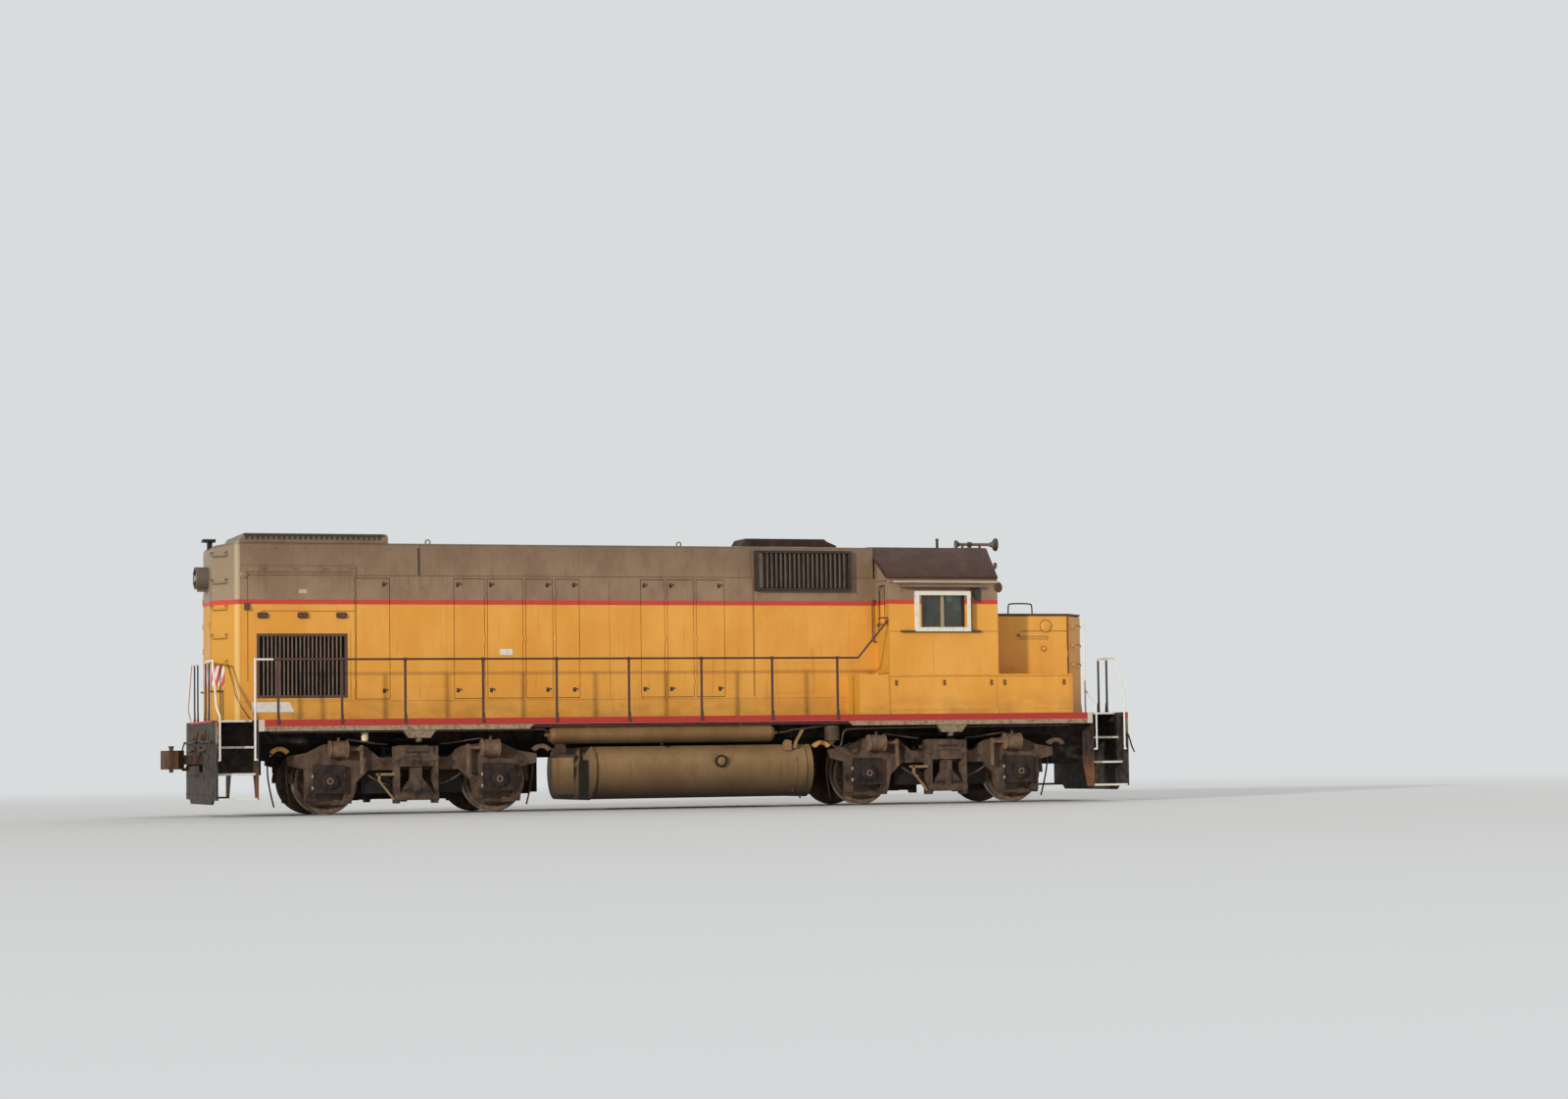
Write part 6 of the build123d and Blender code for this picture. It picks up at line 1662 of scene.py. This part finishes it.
class SwitcherSizes(bpy.types.PropertyGroup):
    latch_inset: bpy.props.FloatProperty(
        name="Latch inset", description="Distance of each hood door's latches from its free edge",
        default=0.10, min=0.05, max=0.2, unit="LENGTH")
    grab_heights: bpy.props.FloatVectorProperty(
        name="Grab heights", description="Heights above the rail of the grab irons on the rear corners",
        default=(4.152, 3.722, 3.304, 2.851, 2.435), size=5, unit="LENGTH")
    frame_border: bpy.props.FloatProperty(
        name="Window frame", description="Width of the white frame round each cab window",
        default=0.072, min=0.02, max=0.1, unit="LENGTH")
    fin_pitch: bpy.props.FloatProperty(
        name="Fin pitch", description="Distance between the fins under the radiator's lid",
        default=0.085, min=0.03, max=0.2, unit="LENGTH")
    fan_radius: bpy.props.FloatProperty(
        name="Fan radius", description="Radius of each radiator fan's opening",
        default=0.46, min=0.3, max=0.5, unit="LENGTH")


def colour_property(name, description, sheet_colour):
    """A colour swatch for the panel, from sRGB hex."""
    return bpy.props.FloatVectorProperty(name=name, description=description, default=linear(sheet_colour),
                                         size=4, min=0.0, max=1.0, subtype="COLOR")


class SwitcherColours(bpy.types.PropertyGroup):
    body: colour_property("Body", "Enamel on the lower body", "D99334")
    upper: colour_property("Upper body", "Enamel above the stripe", "846850")
    stripe: colour_property("Stripe", "Enamel of the line below the upper body", "BE3D2D")


# Operators, one for each part of the work

class SWITCHER_OT_studio(bpy.types.Operator):
    """Set up the floor, lamps, sky and camera"""
    bl_idname = "switcher.studio"
    bl_label = "Studio"

    def execute(self, context):
        bpy.context.scene.view_settings.view_transform = "Standard"
        floor()
        sky()
        sun("key_lamp", KEY_WAY, KEY_STRENGTH, KEY_SOFTNESS)
        sun("fill_lamp", FILL_WAY, FILL_STRENGTH, FILL_SOFTNESS)
        camera()
        return {"FINISHED"}


class SWITCHER_OT_paint(bpy.types.Operator):
    """Give every carried-over piece its finish and mix the finishes of the added ones"""
    bl_idname = "switcher.paint"
    bl_label = "Paint"

    def execute(self, context):
        finish_frame(context.scene.switcher_colours)
        mix_trim_paints()
        return {"FINISHED"}


class SWITCHER_OT_hood(bpy.types.Operator):
    """Add the long hood's door furniture, seams, caps, grab irons and end"""
    bl_idname = "switcher.hood"
    bl_label = "Long hood"

    def execute(self, context):
        hood_doors(context.scene.switcher_sizes)
        hood_trim(context.scene.switcher_sizes)
        hood_end_fittings()
        return {"FINISHED"}


class SWITCHER_OT_roof(bpy.types.Operator):
    """Add the fans, fins, exhaust outlets, horn bells and aerial"""
    bl_idname = "switcher.roof"
    bl_label = "Roof"

    def execute(self, context):
        roof_fittings(context.scene.switcher_sizes)
        radiator_cores()
        horn_and_aerial()
        return {"FINISHED"}


class SWITCHER_OT_cab(bpy.types.Operator):
    """Add the cab's roof, window frames, lamps, door furniture and inside, and the short hood's fittings"""
    bl_idname = "switcher.cab"
    bl_label = "Cab"

    def execute(self, context):
        cab_roof_shell()
        cab_side_fittings(context.scene.switcher_sizes)
        cab_front_fittings()
        cab_end_fittings()
        cab_inside()
        nose_fittings()
        side_box_fittings()
        return {"FINISHED"}


class SWITCHER_OT_ends(bpy.types.Operator):
    """Add the couplers' levers, receptacles, air pipes, tread edges and the handrails' sockets"""
    bl_idname = "switcher.ends"
    bl_label = "Ends"

    def execute(self, context):
        end_fittings("rear", -1)
        end_fittings("front", 1)
        handrail_fittings()
        return {"FINISHED"}


class SWITCHER_OT_underfloor(bpy.types.Operator):
    """Add the tank's cap and gauge, straps, air ducts, pipes and conduits"""
    bl_idname = "switcher.underfloor"
    bl_label = "Under the floor"

    def execute(self, context):
        tank_fittings()
        underfloor_fittings()
        return {"FINISHED"}


class SWITCHER_OT_trucks(bpy.types.Operator):
    """Add the trucks' brake cylinders, covers, springs, shoes, pipes and wheels"""
    bl_idname = "switcher.trucks"
    bl_label = "Trucks"

    def execute(self, context):
        for name, middle in TRUCK_CENTRES:
            for group in (journal_covers, brake_cylinders, frame_plates, spring_details, brake_shoes,
                          sand_pipes, gear_cases):
                group(name, middle)
        for name, middle in TRUCK_CENTRES:
            wheels(name, middle)
        return {"FINISHED"}


STAGES = (SWITCHER_OT_studio, SWITCHER_OT_paint, SWITCHER_OT_hood, SWITCHER_OT_roof, SWITCHER_OT_cab,
          SWITCHER_OT_ends, SWITCHER_OT_underfloor, SWITCHER_OT_trucks)


class SWITCHER_PT_panel(bpy.types.Panel):
    bl_label = "Locomotive"
    bl_space_type = "VIEW_3D"
    bl_region_type = "UI"
    bl_category = "Locomotive"

    def draw(self, context):
        for group in (context.scene.switcher_sizes, context.scene.switcher_colours):
            for name in group.bl_rna.properties.keys():
                if name not in ("rna_type", "name"):
                    self.layout.prop(group, name)
        for stage in STAGES:
            self.layout.operator(stage.bl_idname)


CLASSES = (SwitcherSizes, SwitcherColours, *STAGES, SWITCHER_PT_panel)


def register():
    for kind in CLASSES:
        bpy.utils.register_class(kind)
    bpy.types.Scene.switcher_sizes = bpy.props.PointerProperty(type=SwitcherSizes)
    bpy.types.Scene.switcher_colours = bpy.props.PointerProperty(type=SwitcherColours)


def unregister():
    del bpy.types.Scene.switcher_colours
    del bpy.types.Scene.switcher_sizes
    for kind in reversed(CLASSES):
        bpy.utils.unregister_class(kind)


def main():
    register()
    for name in bpy.data.objects.keys():
        if name in ("Cube", "Light", "Camera"):
            bpy.data.objects.remove(bpy.data.objects[name])
    bpy.ops.switcher.studio()
    bpy.ops.switcher.paint()
    bpy.ops.switcher.hood()
    bpy.ops.switcher.roof()
    bpy.ops.switcher.cab()
    bpy.ops.switcher.ends()
    bpy.ops.switcher.underfloor()
    bpy.ops.switcher.trucks()


if __name__ == "__main__":
    main()
